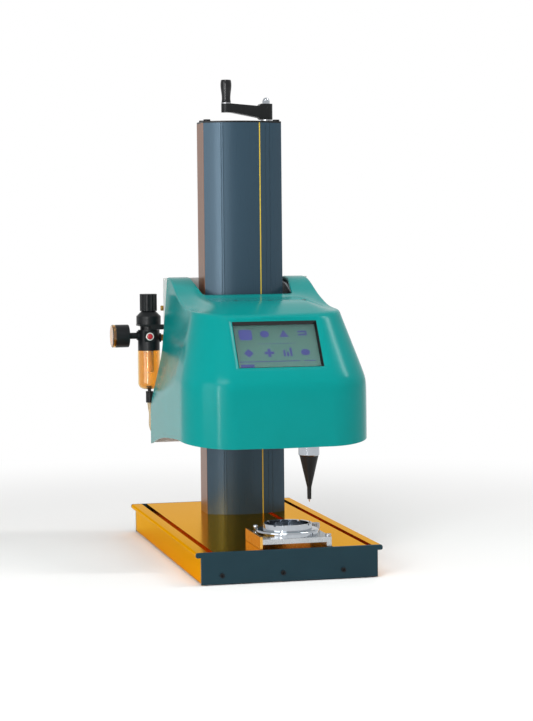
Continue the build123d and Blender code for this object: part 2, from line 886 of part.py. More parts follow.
post_places = [(post_first_x + post_spacing * i, post_y) for i in range(post_count)]
with BuildPart() as head_cover:
    add(cover_solid.part)
    add(cover_hollow.part, mode=Mode.SUBTRACT)
    with BuildSketch(Plane.XY.offset(cover_toe_z - overrun)):
        passage_outline(0)
    extrude(amount=ear_z, mode=Mode.SUBTRACT)
    with BuildSketch(screen_plane.offset(overrun)):
        Rectangle(window_width + 2 * pocket_flare_x, window_height + 2 * pocket_flare_y)
    with BuildSketch(pocket_plane):
        Rectangle(window_width + 2 * pocket_rim, window_height + 2 * pocket_rim)
    loft(mode=Mode.SUBTRACT)
    with BuildSketch(pocket_plane.offset(overrun)):
        Rectangle(window_width, window_height)
    extrude(amount=-cover_wall - 2 * overrun, mode=Mode.SUBTRACT)
    with Locations(*[(x, y, deck_z) for x, y in post_places]):
        Cylinder(cover_screw_radius + seat_gap, ear_z - deck_z, align=on_bottom, mode=Mode.SUBTRACT)
head_cover.part.label = "head_cover"
export_step(head_cover.part, "parts/head_cover.step")

# Screws that close the cover onto its posts, flush with the cover's top
with BuildPart() as cover_screws:
    with Locations(*[(x, y, deck_z) for x, y in post_places]):
        Cylinder(cover_screw_radius, ear_z - deck_z, align=on_bottom)
    add(cover_solid.part, mode=Mode.INTERSECT)
    add(cover_hollow.part, mode=Mode.SUBTRACT)
cover_screws.part.label = "cover_screws"
export_step(cover_screws.part, "parts/cover_screws.step")

deck_top = deck_z + deck_plate_thickness
with BuildPart() as cover_posts:
    with Locations(*[(x, y, deck_top) for x, y in post_places]):
        Cylinder(post_radius, ear_z - deck_top, align=on_bottom)
    add(cover_hollow.part, mode=Mode.INTERSECT)

# Screen: a black frame that lines the window, its glass, the display and its board
frame_back = screen_plane.offset(-pocket_depth - cover_wall)
with BuildPart() as display_bezel:
    with BuildSketch(frame_back):
        Rectangle(window_width + 2 * bezel_flange, window_height + 2 * bezel_flange)
        Rectangle(window_width - 2 * bezel_lining, window_height - 2 * bezel_lining, mode=Mode.SUBTRACT)
    extrude(amount=-bezel_thickness)
    with BuildSketch(frame_back):
        Rectangle(window_width - 2 * seat_gap, window_height - 2 * seat_gap)
        Rectangle(window_width - 2 * bezel_lining, window_height - 2 * bezel_lining, mode=Mode.SUBTRACT)
    extrude(amount=cover_wall)
display_bezel.part.label = "display_bezel"
export_step(display_bezel.part, "parts/display_bezel.step")

glass_front = frame_back.offset(-bezel_thickness)
with BuildPart() as screen_glass:
    with BuildSketch(glass_front):
        Rectangle(window_width, window_height)
    extrude(amount=-glass_thickness)
screen_glass.part.label = "screen_glass"
export_step(screen_glass.part, "parts/screen_glass.step")

module_front = glass_front.offset(-glass_thickness)
with BuildPart() as display_module:
    with BuildSketch(module_front):
        Rectangle(window_width, window_height)
    extrude(amount=-module_thickness)
display_module.part.label = "display_module"
export_step(display_module.part, "parts/display_module.step")

board_front = module_front.offset(-module_thickness)
with BuildPart() as circuit_boards:
    with BuildSketch(board_front):
        Rectangle(window_width + bezel_flange, window_height + bezel_flange)
    extrude(amount=-board_thickness)
    with BuildSketch(board_front.offset(-board_thickness)):
        with GridLocations(window_width / 3, window_height / 2, 3, 2):
            Rectangle(window_width / 9, window_height / 6)
    extrude(amount=-board_thickness)

# Head chassis: rear plate, side plates along the column, cross plate, floor tray and upper deck
rear_face_y = cover_back_y + rear_plate_thickness
elbow_places = ((elbow_x, elbow_z), (fitting_x, fitting_z))
with BuildPart() as rear_plate:
    with BuildSketch(Plane.XZ.offset(-cover_back_y)):
        with BuildLine():
            Polyline(
                (column_x - rear_plate_half, rear_plate_top),
                (column_x + rear_plate_half, rear_plate_top),
                (column_x + rear_plate_half, rear_plate_taper_z),
                (column_x + rear_plate_low_half, rear_plate_step_z),
                (column_x + rear_plate_low_half, rear_plate_bottom),
                (column_x - rear_plate_low_half, rear_plate_bottom),
                (column_x - rear_plate_low_half, rear_plate_step_z),
                (column_x - rear_plate_half, rear_plate_taper_z),
                close=True,
            )
        make_face()
        with Locations((connector_x, inlet_z)):
            Rectangle(inlet_width + seat_gap, inlet_height + seat_gap, mode=Mode.SUBTRACT)
        with Locations((connector_x, switch_z)):
            Rectangle(
                switch_width + 2 * switch_frame, switch_height + 2 * switch_swing_gap + 2 * switch_frame,
                mode=Mode.SUBTRACT,
            )
        with Locations((data_port_x, data_port_z)):
            Rectangle(data_port_width, data_port_height, mode=Mode.SUBTRACT)
        with Locations(*elbow_places):
            Circle(elbow_bore, mode=Mode.SUBTRACT)
    extrude(amount=-rear_plate_thickness)
rear_plate.part.label = "rear_plate"
export_step(rear_plate.part, "parts/rear_plate.step")

tray_top = tray_z + tray_thickness
cross_back_y = cross_plate_y + cross_plate_thickness
with BuildPart() as head_chassis:
    for side in (-1, 1):
        with BuildSketch(Plane.YZ.offset(column_x + side * (side_plate_offset + side_plate_thickness / 2))):
            with BuildLine():
                Polyline(
                    (cross_back_y, tray_top),
                    (cover_back_y, tray_top),
                    (cover_back_y, side_plate_top),
                    (passage_step_y, side_plate_top - side_plate_thickness),
                    (cross_back_y, side_plate_top - side_plate_front_drop),
                    close=True,
                )
            make_face()
        extrude(amount=side_plate_thickness / 2, both=True)
    with BuildSketch(Plane.XZ.offset(-cross_plate_y)):
        with Locations((column_x, (tray_top + cross_plate_top) / 2)):
            Rectangle(2 * cross_plate_half, cross_plate_top - tray_top)
    extrude(amount=-cross_plate_thickness)

stylus_x = column_x + stylus_offset_x
tray_window_width = x_travel + 2 * stylus_collar_radius + 2 * tray_window_margin
tray_window_depth = y_travel + 2 * stylus_collar_radius + 2 * tray_window_margin
tray_window_x = stylus_x - x_travel / 2
tray_window_y = stylus_y + y_travel / 2
with BuildPart() as floor_tray:
    add(cover_section(tray_z, cover_wall + tray_gap))
    extrude(amount=tray_thickness)
    with BuildSketch(Plane.XY.offset(tray_z)):
        passage_outline(0)
        with Locations((tray_window_x, tray_window_y)):
            RectangleRounded(tray_window_width, tray_window_depth, passage_round)
    extrude(amount=tray_thickness, mode=Mode.SUBTRACT)
floor_tray.part.label = "floor_tray"
export_step(floor_tray.part, "parts/floor_tray.step")

# The deck, the posts that carry the cover, the lug at the front and the lift nut's bracket
deck_depth = cross_plate_y - deck_front_y
y_screw_x = column_x + y_screw_offset_x
y_screw_z = deck_z - y_screw_drop
with head_chassis:
    with Locations((column_x, deck_front_y + deck_depth / 2, deck_z)):
        Box(2 * deck_half, deck_depth, deck_plate_thickness, align=on_bottom)
    add(cover_posts.part)
    with BuildSketch(Plane.XZ.offset(-deck_front_y)):
        with Locations((y_screw_x, deck_z - (y_screw_drop + drive_nut_width / 2) / 2)):
            Rectangle(drive_nut_width, y_screw_drop + drive_nut_width / 2)
        with Locations((y_screw_x, y_screw_z)):
            Circle(drive_screw_radius + run_gap, mode=Mode.SUBTRACT)
    extrude(amount=-bearing_plate_thickness)
head_chassis.part.label = "head_chassis"
export_step(head_chassis.part, "parts/head_chassis.step")

# Runners on the guide rails, and the nut that the lift screw drives
with BuildPart() as lift_runners:
    runner_depth = guide_stack - runner_float
    for rail_x in rail_places:
        for runner_z in (nut_z - runner_spread, nut_z + runner_spread):
            with Locations((rail_x, cover_back_y - runner_depth / 2, runner_z)):
                Box(runner_width, runner_depth, runner_length)
    with Locations(*[(x, column_back_y, nut_z) for x in rail_places]):
        Box(
            rail_width + 2 * part_gap, 2 * (rail_height + part_gap), 4 * runner_spread, mode=Mode.SUBTRACT
        )
lift_runners.part.label = "lift_runners"
export_step(lift_runners.part, "parts/lift_runners.step")

with BuildPart() as lift_nut:
    with Locations((screw_x, (screw_y + cover_back_y) / 2, nut_z)):
        Box(nut_bracket_width, cover_back_y - screw_y, nut_height)
    with Locations((screw_x, screw_y, nut_z)):
        Cylinder(nut_radius, nut_height)
        Cylinder(screw_radius + run_gap, nut_height, mode=Mode.SUBTRACT)
lift_nut.part.label = "lift_nut"
export_step(lift_nut.part, "parts/lift_nut.step")

# Control board on the cross plate's front, above the deck
with circuit_boards:
    board_z = (deck_top + cross_plate_top) / 2
    with Locations((column_x, cross_plate_y - bezel_flange, board_z)):
        Box(cross_plate_half, board_thickness, cross_plate_top - deck_top - 2 * post_radius)
    with Locations((column_x, cross_plate_y - bezel_flange - board_thickness, board_z)):
        with GridLocations(cross_plate_half / 3, 0, 3, 1):
            Box(cross_plate_half / 6, board_thickness, cross_plate_half / 6)
    with Locations(Location((column_x, cross_plate_y, board_z), (90, 0, 0))):
        with GridLocations(cross_plate_half - 2 * post_radius, 2 * inlet_height, 2, 2):
            Cylinder(small_screw_head_radius, bezel_flange - board_thickness / 2, align=on_bottom)
circuit_boards.part.label = "circuit_boards"
export_step(circuit_boards.part, "parts/circuit_boards.step")

# Y slide: rails under the deck, blocks and a plate that they carry
y_plate_y = stylus_y + y_block_shift
y_plate_top = deck_z - slide_stack
y_plate_bottom = y_plate_top - y_plate_thickness
y_rail_back_y = cross_plate_y - y_rail_end_margin
y_rail_length = y_rail_back_y - deck_front_y
y_rail_places = (column_x - y_rail_offset, column_x + y_rail_offset)
with BuildPart() as y_rails:
    with Locations(*[(x, deck_front_y + y_rail_length / 2, deck_z) for x in y_rail_places]):
        Box(rail_width, y_rail_length, slide_rail_height, align=on_top)
y_rails.part.label = "y_rails"
export_step(y_rails.part, "parts/y_rails.step")

with BuildPart() as y_carriage:
    for rail_x in y_rail_places:
        with Locations((rail_x, y_plate_y, y_plate_top)):
            with GridLocations(0, y_block_pitch, 1, 2):
                Box(runner_width, y_block_length, slide_block_height, align=on_bottom)
    with Locations(*[(x, y_plate_y, deck_z) for x in y_rail_places]):
        Box(
            rail_width + 2 * part_gap, 2 * y_plate_depth, slide_rail_height + part_gap,
            align=on_top, mode=Mode.SUBTRACT,
        )
    y_plate_left = column_x - y_plate_half
    y_nut_left = y_screw_x - drive_nut_width / 2
    with Locations((column_x, y_plate_y, y_plate_bottom)):
        Box(2 * y_plate_half, y_plate_depth, y_plate_thickness, align=on_bottom)
    with Locations(((y_nut_left + y_plate_left) / 2, y_plate_y, y_plate_top)):
        Box(y_plate_left - y_nut_left, drive_nut_width, 2 * (y_plate_top - y_screw_z), align=on_top)
    with Locations(Location((y_screw_x, y_plate_y, y_screw_z), (90, 0, 0))):
        Cylinder(drive_screw_radius + run_gap, 2 * drive_nut_width, mode=Mode.SUBTRACT)
y_carriage.part.label = "y_carriage"
export_step(y_carriage.part, "parts/y_carriage.step")

# Drive of the Y slide: a motor on the cross plate and its screw
y_motor_front_y = cross_plate_y - y_motor_length
with BuildPart() as y_motor:
    with BuildSketch(Plane.XZ.offset(-cross_plate_y)):
        with Locations((y_screw_x, y_screw_z)):
            RectangleRounded(y_motor_size, y_motor_size, arm_round)
    extrude(amount=y_motor_length)
y_motor.part.label = "y_motor"
export_step(y_motor.part, "parts/y_motor.step")

with BuildPart() as y_drive_screw:
    with Locations(Location((y_screw_x, y_motor_front_y - part_gap, y_screw_z), (90, 0, 0))):
        Cylinder(drive_screw_radius, y_motor_front_y - part_gap - deck_front_y, align=on_bottom)
y_drive_screw.part.label = "y_drive_screw"
export_step(y_drive_screw.part, "parts/y_drive_screw.step")

# X slide: rails under the Y plate, blocks and the plate that carries the stylus
x_plate_top = y_plate_bottom - slide_stack
x_rail_places = (stylus_y - x_rail_offset, stylus_y + x_rail_offset)
with BuildPart() as x_rails:
    with Locations(*[(column_x, y, y_plate_bottom) for y in x_rail_places]):
        Box(2 * x_rail_half, rail_width, slide_rail_height, align=on_top)
x_rails.part.label = "x_rails"
export_step(x_rails.part, "parts/x_rails.step")

x_plate_bottom = x_plate_top - x_plate_thickness
x_screw_z = x_plate_top + x_nut_height / 2
holder_bottom = stylus_collar_top
with BuildPart() as x_carriage:
    for rail_y in x_rail_places:
        with Locations((stylus_x, rail_y, x_plate_top)):
            with GridLocations(x_block_pitch, 0, 2, 1):
                Box(x_block_length, x_block_width, slide_block_height, align=on_bottom)
    with Locations(*[(stylus_x, y, y_plate_bottom) for y in x_rail_places]):
        Box(
            2 * x_plate_width, rail_width + 2 * part_gap, slide_rail_height + part_gap,
            align=on_top, mode=Mode.SUBTRACT,
        )
    with Locations((stylus_x, stylus_y, x_plate_bottom)):
        Box(x_plate_width, x_plate_depth, x_plate_thickness, align=on_bottom)
    with Locations((stylus_x, stylus_y, x_screw_z)):
        Box(x_nut_length, x_nut_width, x_nut_height)
    with Locations(Location((stylus_x, stylus_y, x_screw_z), (0, 90, 0))):
        Cylinder(drive_screw_radius + run_gap, 2 * x_nut_length, mode=Mode.SUBTRACT)
    with Locations((stylus_x, stylus_y, holder_bottom)):
        Box(holder_width, holder_width, x_plate_bottom - holder_bottom, align=on_bottom)
        Cylinder(
            stylus_barrel_radius + seat_gap, x_plate_bottom - holder_bottom - x_plate_thickness,
            align=on_bottom, mode=Mode.SUBTRACT,
        )
x_carriage.part.label = "x_carriage"
export_step(x_carriage.part, "parts/x_carriage.step")

# Drive of the X slide, carried by the Y carriage
x_bearing_left = column_x - y_plate_half
x_bracket_left = column_x + y_plate_half
x_motor_left = x_bracket_left + motor_bracket_thickness
with BuildPart() as x_screw_brackets:
    with BuildSketch(Plane.YZ.offset(x_bracket_left)):
        with Locations((stylus_y, x_screw_z)):
            Rectangle(x_motor_size, x_motor_size)
            Circle(drive_screw_radius + part_gap, mode=Mode.SUBTRACT)
    extrude(amount=motor_bracket_thickness)
    with BuildSketch(Plane.YZ.offset(x_bearing_left)):
        with Locations((stylus_y, y_plate_bottom)):
            Rectangle(
                x_nut_width, y_plate_bottom - x_screw_z + x_nut_height / 2,
                align=(Align.CENTER, Align.MAX),
            )
        with Locations((stylus_y, x_screw_z)):
            Circle(drive_screw_radius + run_gap, mode=Mode.SUBTRACT)
    extrude(amount=bearing_plate_thickness)
x_screw_brackets.part.label = "x_screw_brackets"
export_step(x_screw_brackets.part, "parts/x_screw_brackets.step")

with BuildPart() as x_motor:
    with BuildSketch(Plane.YZ.offset(x_motor_left)):
        with Locations((stylus_y, x_screw_z)):
            RectangleRounded(x_motor_size, x_motor_size, arm_round)
    extrude(amount=x_motor_length)
x_motor.part.label = "x_motor"
export_step(x_motor.part, "parts/x_motor.step")

with BuildPart() as x_drive_screw:
    with Locations(Location((x_bearing_left, stylus_y, x_screw_z), (0, 90, 0))):
        Cylinder(drive_screw_radius, x_motor_left - part_gap - x_bearing_left, align=on_bottom)
x_drive_screw.part.label = "x_drive_screw"
export_step(x_drive_screw.part, "parts/x_drive_screw.step")

# Stylus: a bright barrel with a collar, and a black cone with a nose
barrel_bore = stylus_barrel_radius - stylus_barrel_wall
with BuildPart() as stylus_barrel:
    with Locations((stylus_x, stylus_y, stylus_collar_bottom)):
        barrel_length = x_plate_bottom - x_plate_thickness - stylus_collar_bottom
        Cylinder(stylus_barrel_radius, barrel_length, align=on_bottom)
        Cylinder(stylus_collar_radius, stylus_collar_top - stylus_collar_bottom, align=on_bottom)
        Cylinder(barrel_bore, barrel_length - stylus_barrel_wall, align=on_bottom, mode=Mode.SUBTRACT)
    chamfer(
        stylus_barrel.faces().sort_by(Axis.Z)[0].outer_wire().edges(),
        length=stylus_collar_radius - stylus_cone_top_radius,
    )
stylus_barrel.part.label = "stylus_barrel"
export_step(stylus_barrel.part, "parts/stylus_barrel.step")

with BuildPart() as stylus_cone:
    with BuildSketch(Plane.XZ.offset(-stylus_y)):
        with BuildLine():
            Polyline(
                (stylus_x + stylus_pin_radius + run_gap, stylus_collar_bottom),
                (stylus_x + stylus_cone_top_radius, stylus_collar_bottom),
                (stylus_x + stylus_cone_end_radius, stylus_cone_bottom),
                (stylus_x + stylus_nose_radius, stylus_nose_bottom),
                (stylus_x + stylus_pin_radius + run_gap, stylus_nose_bottom),
                close=True,
            )
        make_face()
    revolve(axis=Axis((stylus_x, stylus_y, 0), (0, 0, 1)))
stylus_cone.part.label = "stylus_cone"
export_step(stylus_cone.part, "parts/stylus_cone.step")

tip_top = stylus_tip_bottom + stylus_tip_length
with BuildPart() as stylus_pin:
    with Locations((stylus_x, stylus_y, tip_top)):
        Cylinder(stylus_pin_radius, piston_bottom - tip_top, align=on_bottom)
    with Locations((stylus_x, stylus_y, piston_bottom)):
        Cylinder(barrel_bore - run_gap, piston_height, align=on_bottom)
    with Locations((stylus_x, stylus_y, stylus_tip_bottom)):
        Cone(stylus_tip_point_radius, stylus_pin_radius, stylus_tip_length, align=on_bottom)
stylus_pin.part.label = "stylus_pin"
export_step(stylus_pin.part, "parts/stylus_pin.step")

with BuildPart() as return_spring:
    spring_length = piston_bottom - stylus_collar_bottom - 2 * part_gap
    with Locations((stylus_x, stylus_y, stylus_collar_bottom + part_gap)):
        Cylinder(spring_outer_radius, spring_length, align=on_bottom)
        Cylinder(spring_outer_radius - spring_sleeve_wall, spring_length, align=on_bottom, mode=Mode.SUBTRACT)
return_spring.part.label = "return_spring"
export_step(return_spring.part, "parts/return_spring.step")

# Filter and regulator behind the head's left rear corner: body, bonnet and side bosses
bonnet_top = bonnet_flange_bottom + bonnet_height
regulator_front_y = regulator_y - regulator_body_radius - run_gap
button_x = regulator_x + button_offset_x
boss_reach = regulator_body_radius + side_boss_reach
with BuildPart() as regulator_body:
    with Locations((regulator_x, regulator_y, regulator_body_bottom)):
        Cylinder(regulator_body_radius, regulator_body_top - regulator_body_bottom, align=on_bottom)
    with Locations((regulator_x, regulator_y, regulator_body_top)):
        Cylinder(bonnet_neck_radius, bonnet_flange_bottom - regulator_body_top, align=on_bottom)
    with Locations((regulator_x, regulator_y, bonnet_flange_bottom)):
        Cylinder(bonnet_radius, bonnet_top - bonnet_flange_bottom, align=on_bottom)
    chamfer(regulator_body.edges().filter_by(GeomType.CIRCLE).sort_by(Axis.Z)[-1], length=bonnet_bevel)
    with Locations((button_x, (regulator_front_y + regulator_y) / 2, button_z)):
        Box(button_boss_width, regulator_y - regulator_front_y, button_boss_width)
    with Locations(Location((regulator_x, regulator_y, fitting_z), (0, 90, 0))):
        Cylinder(side_boss_radius, boss_reach, align=on_bottom)
    with Locations(Location((regulator_x, regulator_y, gauge_axis_z), (0, -90, 0))):
        Cylinder(side_boss_radius, boss_reach, align=on_bottom)
    with Locations(Location((button_x, regulator_front_y, button_z), (-90, 0, 0))):
        Cylinder(
            button_radius + run_gap, button_inside + button_travel + part_gap,
            align=on_bottom, mode=Mode.SUBTRACT,
        )
    with Locations((regulator_x, regulator_y, bonnet_flange_bottom)):
        Cylinder(
            stem_radius + run_gap, bonnet_top - bonnet_flange_bottom,
            align=on_bottom, mode=Mode.SUBTRACT,
        )
regulator_body.part.label = "regulator_body"
export_step(regulator_body.part, "parts/regulator_body.step")

# Ribbed knob on its stem
knob_bottom = bonnet_top + part_gap
with BuildPart() as regulator_knob:
    with BuildSketch(Plane.XY.offset(knob_bottom)):
        with Locations((regulator_x, regulator_y)):
            Circle(knob_radius - knob_rib_radius)
            with PolarLocations(knob_radius - knob_rib_radius, knob_rib_count):
                Circle(knob_rib_radius)
    extrude(amount=knob_top - knob_bottom)
    with Locations((regulator_x, regulator_y, knob_bottom)):
        Cylinder(
            knob_radius - knob_rib_radius - knob_wall, knob_skirt, align=on_bottom, mode=Mode.SUBTRACT
        )
    with Locations((regulator_x, regulator_y, bonnet_flange_bottom + part_gap)):
        Cylinder(stem_radius, knob_top - knob_wall - bonnet_flange_bottom, align=on_bottom)
regulator_knob.part.label = "regulator_knob"
export_step(regulator_knob.part, "parts/regulator_knob.step")

# Bracket: a plate round the bonnet's neck, with a tab that bolts to the rear plate's back
bracket_left = regulator_x - bracket_width / 2
bracket_back = regulator_y + bracket_width / 2
bracket_bottom = bonnet_flange_bottom - bracket_thickness
tab_right = column_x - rear_plate_half + bracket_tab_reach
with BuildPart() as regulator_bracket:
    with Locations((bracket_left, rear_face_y, bracket_bottom)):
        Box(
            bracket_width, bracket_back - rear_face_y, bracket_thickness,
            align=(Align.MIN, Align.MIN, Align.MIN),
        )
    with Locations((regulator_x, regulator_y, bracket_bottom)):
        Cylinder(
            bonnet_neck_radius + seat_gap, bracket_thickness, align=on_bottom, mode=Mode.SUBTRACT
        )
    with Locations((bracket_left + bracket_width / 2, rear_face_y, bonnet_flange_bottom)):
        Box(
            tab_right - bracket_left - bracket_width / 2, bracket_thickness, bracket_tab_height,
            align=(Align.MIN, Align.MIN, Align.MAX),
        )
regulator_bracket.part.label = "regulator_bracket"
export_step(regulator_bracket.part, "parts/regulator_bracket.step")

# Red release button and the light rim round it
with BuildPart() as button_rim:
    with Locations(Location((button_x, regulator_front_y, button_z), (90, 0, 0))):
        Cylinder(button_rim_radius, button_rim_depth, align=on_bottom)
        Cylinder(button_radius + part_gap, button_rim_depth, align=on_bottom, mode=Mode.SUBTRACT)
button_rim.part.label = "button_rim"
export_step(button_rim.part, "parts/button_rim.step")

with BuildPart() as release_button:
    with Locations(Location((button_x, regulator_front_y + button_inside, button_z), (90, 0, 0))):
        Cylinder(button_radius, button_inside + button_reach, align=on_bottom)
    fillet(release_button.edges().filter_by(GeomType.CIRCLE).sort_by(Axis.Y)[0], radius=arm_round)
release_button.part.label = "release_button"
export_step(release_button.part, "parts/release_button.step")

# Elbow fittings on the rear plate: one from the regulator's outlet, one above it
with BuildPart() as air_fittings:
    for place_x, place_z, reach_y, reach_x in (
        (elbow_x, elbow_z, elbow_reach_y, elbow_reach_x),
        (fitting_x, fitting_z, regulator_y - rear_face_y, fitting_x - regulator_x - boss_reach),
    ):
        with Locations(Location((place_x, rear_face_y, place_z), (-90, 0, 0))):
            Cylinder(elbow_radius, reach_y, align=on_bottom)
            Cylinder(elbow_bore - seat_gap, rear_plate_thickness, align=on_top)
        with Locations((place_x, rear_face_y + reach_y, place_z)):
            Sphere(elbow_radius)
        with Locations(Location((place_x, rear_face_y + reach_y, place_z), (0, -90, 0))):
            Cylinder(elbow_radius, reach_x, align=on_bottom)
    with BuildSketch(Plane.YZ.offset(regulator_x + boss_reach)):
        with Locations((regulator_y, fitting_z)):
            RegularPolygon(fitting_hex_radius, side_count=6)
    extrude(amount=fitting_hex_length)
air_fittings.part.label = "air_fittings"
export_step(air_fittings.part, "parts/air_fittings.step")

# Filter bowl with a rounded bottom, its element and drain
bowl_height = regulator_body_bottom - bowl_bottom
with BuildPart() as filter_bowl:
    with Locations((regulator_x, regulator_y, bowl_bottom)):
        Cylinder(bowl_radius, bowl_height, align=on_bottom)
    fillet(filter_bowl.edges().filter_by(GeomType.CIRCLE).sort_by(Axis.Z)[0], radius=bowl_round)
    offset(amount=-bowl_wall, openings=filter_bowl.faces().sort_by(Axis.Z)[-1])
    with Locations((regulator_x, regulator_y, bowl_bottom)):
        Cylinder(drain_neck_radius, 2 * bowl_wall, mode=Mode.SUBTRACT)
filter_bowl.part.label = "filter_bowl"
export_step(filter_bowl.part, "parts/filter_bowl.step")

with BuildPart() as filter_element:
    with Locations((regulator_x, regulator_y, element_bottom)):
        Cylinder(element_radius, regulator_body_bottom - element_bottom, align=on_bottom)
    chamfer(filter_element.edges().filter_by(GeomType.CIRCLE).sort_by(Axis.Z)[0], length=arm_round)
filter_element.part.label = "filter_element"
export_step(filter_element.part, "parts/filter_element.step")

knob_ring_top = bowl_bottom - drain_gap
with BuildPart() as bowl_drain:
    with Locations((regulator_x, regulator_y, drain_bottom)):
        Cylinder(drain_neck_radius, bowl_bottom + bowl_wall - drain_bottom, align=on_bottom)
        Cylinder(drain_radius, knob_ring_top - drain_bottom, align=on_bottom)
        with PolarLocations(drain_radius, drain_rib_count):
            Cylinder(drain_rib_radius, knob_ring_top - drain_bottom, align=on_bottom)
    with Locations((regulator_x, regulator_y, bowl_bottom + bowl_wall)):
        Cylinder(drain_radius, bowl_wall, align=on_bottom)
bowl_drain.part.label = "bowl_drain"
export_step(bowl_drain.part, "parts/bowl_drain.step")

# Drain tube, pushed over the drain's lower end and hanging down behind the head
with BuildPart() as drain_tube:
    with BuildLine():
        Spline(
            (regulator_x, regulator_y, drain_bottom),
            (drain_tube_x, regulator_y, (drain_bottom + drain_tube_bottom) / 2),
            (drain_tube_x, regulator_y, drain_tube_bottom),
            (drain_tube_end_x, regulator_y, drain_tube_end_z),
            tangents=((0, 0, -1), (1, 0, -1)),
        )
    with BuildSketch(Plane.XY.offset(drain_bottom)):
        with Locations((regulator_x, regulator_y)):
            Circle(drain_tube_radius)
            Circle(drain_tube_radius - drain_tube_wall, mode=Mode.SUBTRACT)
    sweep()
drain_tube.part.label = "drain_tube"
export_step(drain_tube.part, "parts/drain_tube.step")

# Pressure gauge facing -X: case with a raised dial, clear cap and needle
gauge_back_x = gauge_face_x + gauge_depth
case_front_x = gauge_face_x + gauge_lens_depth
dial_front_x = case_front_x - gauge_dial_rise
stem_end_x = regulator_x - boss_reach
with BuildPart() as gauge_case:
    with Locations(Location((gauge_back_x, regulator_y, gauge_axis_z), (0, -90, 0))):
        Cylinder(gauge_radius, gauge_back_x - case_front_x, align=on_bottom)
    fillet(
        gauge_case.edges().filter_by(GeomType.CIRCLE).sort_by(Axis.X)[-1], radius=gauge_edge_round
    )
    with Locations(Location((dial_front_x, regulator_y, gauge_axis_z), (0, 90, 0))):
        Cylinder(gauge_radius - gauge_dial_inset, gauge_lens_depth, align=on_bottom)
    with Locations(Location((gauge_back_x, regulator_y, gauge_axis_z), (0, 90, 0))):
        Cylinder(gauge_stem_radius, stem_end_x - gauge_back_x, align=on_bottom)
    with Locations(Location((dial_front_x, regulator_y, gauge_axis_z), (0, 90, 0))):
        Cylinder(
            needle_shaft_radius + run_gap, needle_tail + part_gap, align=on_bottom, mode=Mode.SUBTRACT
        )
gauge_case.part.label = "gauge_case"
export_step(gauge_case.part, "parts/gauge_case.step")

with BuildPart() as gauge_lens:
    with Locations(Location((gauge_face_x, regulator_y, gauge_axis_z), (0, 90, 0))):
        Cylinder(gauge_radius, gauge_lens_depth, align=on_bottom)
    fillet(gauge_lens.edges().filter_by(GeomType.CIRCLE).sort_by(Axis.X)[0], radius=gauge_edge_round)
    with Locations(Location((gauge_face_x + gauge_lens_wall, regulator_y, gauge_axis_z), (0, 90, 0))):
        Cylinder(gauge_radius - gauge_lens_wall, gauge_lens_depth, align=on_bottom, mode=Mode.SUBTRACT)
gauge_lens.part.label = "gauge_lens"
export_step(gauge_lens.part, "parts/gauge_lens.step")

with BuildPart() as gauge_needle:
    with BuildSketch(Plane.YZ.offset(dial_front_x - needle_gap)):
        with Locations((regulator_y, gauge_axis_z)):
            Circle(needle_hub_radius)
        with Locations(Location((regulator_y, gauge_axis_z, 0), needle_rest_angle)):
            with Locations((0, (needle_length - needle_tail) / 2)):
                Rectangle(needle_width, needle_length + needle_tail)
    extrude(amount=-needle_thickness)
    with Locations(Location((dial_front_x - needle_gap, regulator_y, gauge_axis_z), (0, 90, 0))):
        Cylinder(needle_shaft_radius, needle_gap + needle_tail, align=on_bottom)
gauge_needle.part.label = "gauge_needle"
export_step(gauge_needle.part, "parts/gauge_needle.step")

# Power inlet, power switch and data port on the rear plate
with BuildPart() as power_entry:
    with BuildSketch(Plane.XZ.offset(-rear_face_y)):
        with Locations((connector_x, inlet_z)):
            RectangleRounded(inlet_width + 2 * inlet_flange, inlet_height + inlet_flange, arm_round)
    extrude(amount=-inlet_flange_thickness)
    with BuildSketch(Plane.XZ.offset(-rear_face_y)):
        with Locations((connector_x, inlet_z)):
            Rectangle(inlet_width - seat_gap, inlet_height - seat_gap)
    extrude(amount=inlet_depth)
    with BuildSketch(Plane.XZ.offset(-rear_face_y - inlet_flange_thickness)):
        with Locations((connector_x, inlet_z)):
            Rectangle(inlet_width - 2 * inlet_well_wall, inlet_height - 2 * inlet_well_wall)
    extrude(amount=inlet_depth, mode=Mode.SUBTRACT)
    with BuildSketch(Plane.XZ.offset(-rear_face_y)):
        with Locations((connector_x, inlet_z)):
            with GridLocations(inlet_width / 4, 0, 3, 1):
                Rectangle(inlet_pin_radius, 2 * inlet_pin_radius)
    extrude(amount=inlet_depth - inlet_well_wall)
    well_width = switch_width + 2 * part_gap
    well_height = switch_height + 2 * switch_swing_gap
    with BuildSketch(Plane.XZ.offset(-rear_face_y)):
        with Locations((connector_x, switch_z)):
            Rectangle(well_width + 4 * switch_frame, well_height + 4 * switch_frame)
    extrude(amount=-switch_frame)
    with BuildSketch(Plane.XZ.offset(-rear_face_y)):
        with Locations((connector_x, switch_z)):
            Rectangle(
                switch_width + 2 * switch_frame - seat_gap, well_height + 2 * switch_frame - seat_gap
            )
    extrude(amount=switch_depth)
    with BuildSketch(Plane.XZ.offset(-rear_face_y - switch_frame)):
        with Locations((connector_x, switch_z)):
            Rectangle(well_width, well_height)
    extrude(amount=switch_depth, mode=Mode.SUBTRACT)
power_entry.part.label = "power_entry"
export_step(power_entry.part, "parts/power_entry.step")

with BuildPart() as switch_rocker:
    with Locations(Location((connector_x, rear_face_y + switch_frame, switch_z), (switch_angle, 0, 0))):
        Box(switch_width, rocker_depth, switch_height)
switch_rocker.part.label = "switch_rocker"
export_step(switch_rocker.part, "parts/switch_rocker.step")

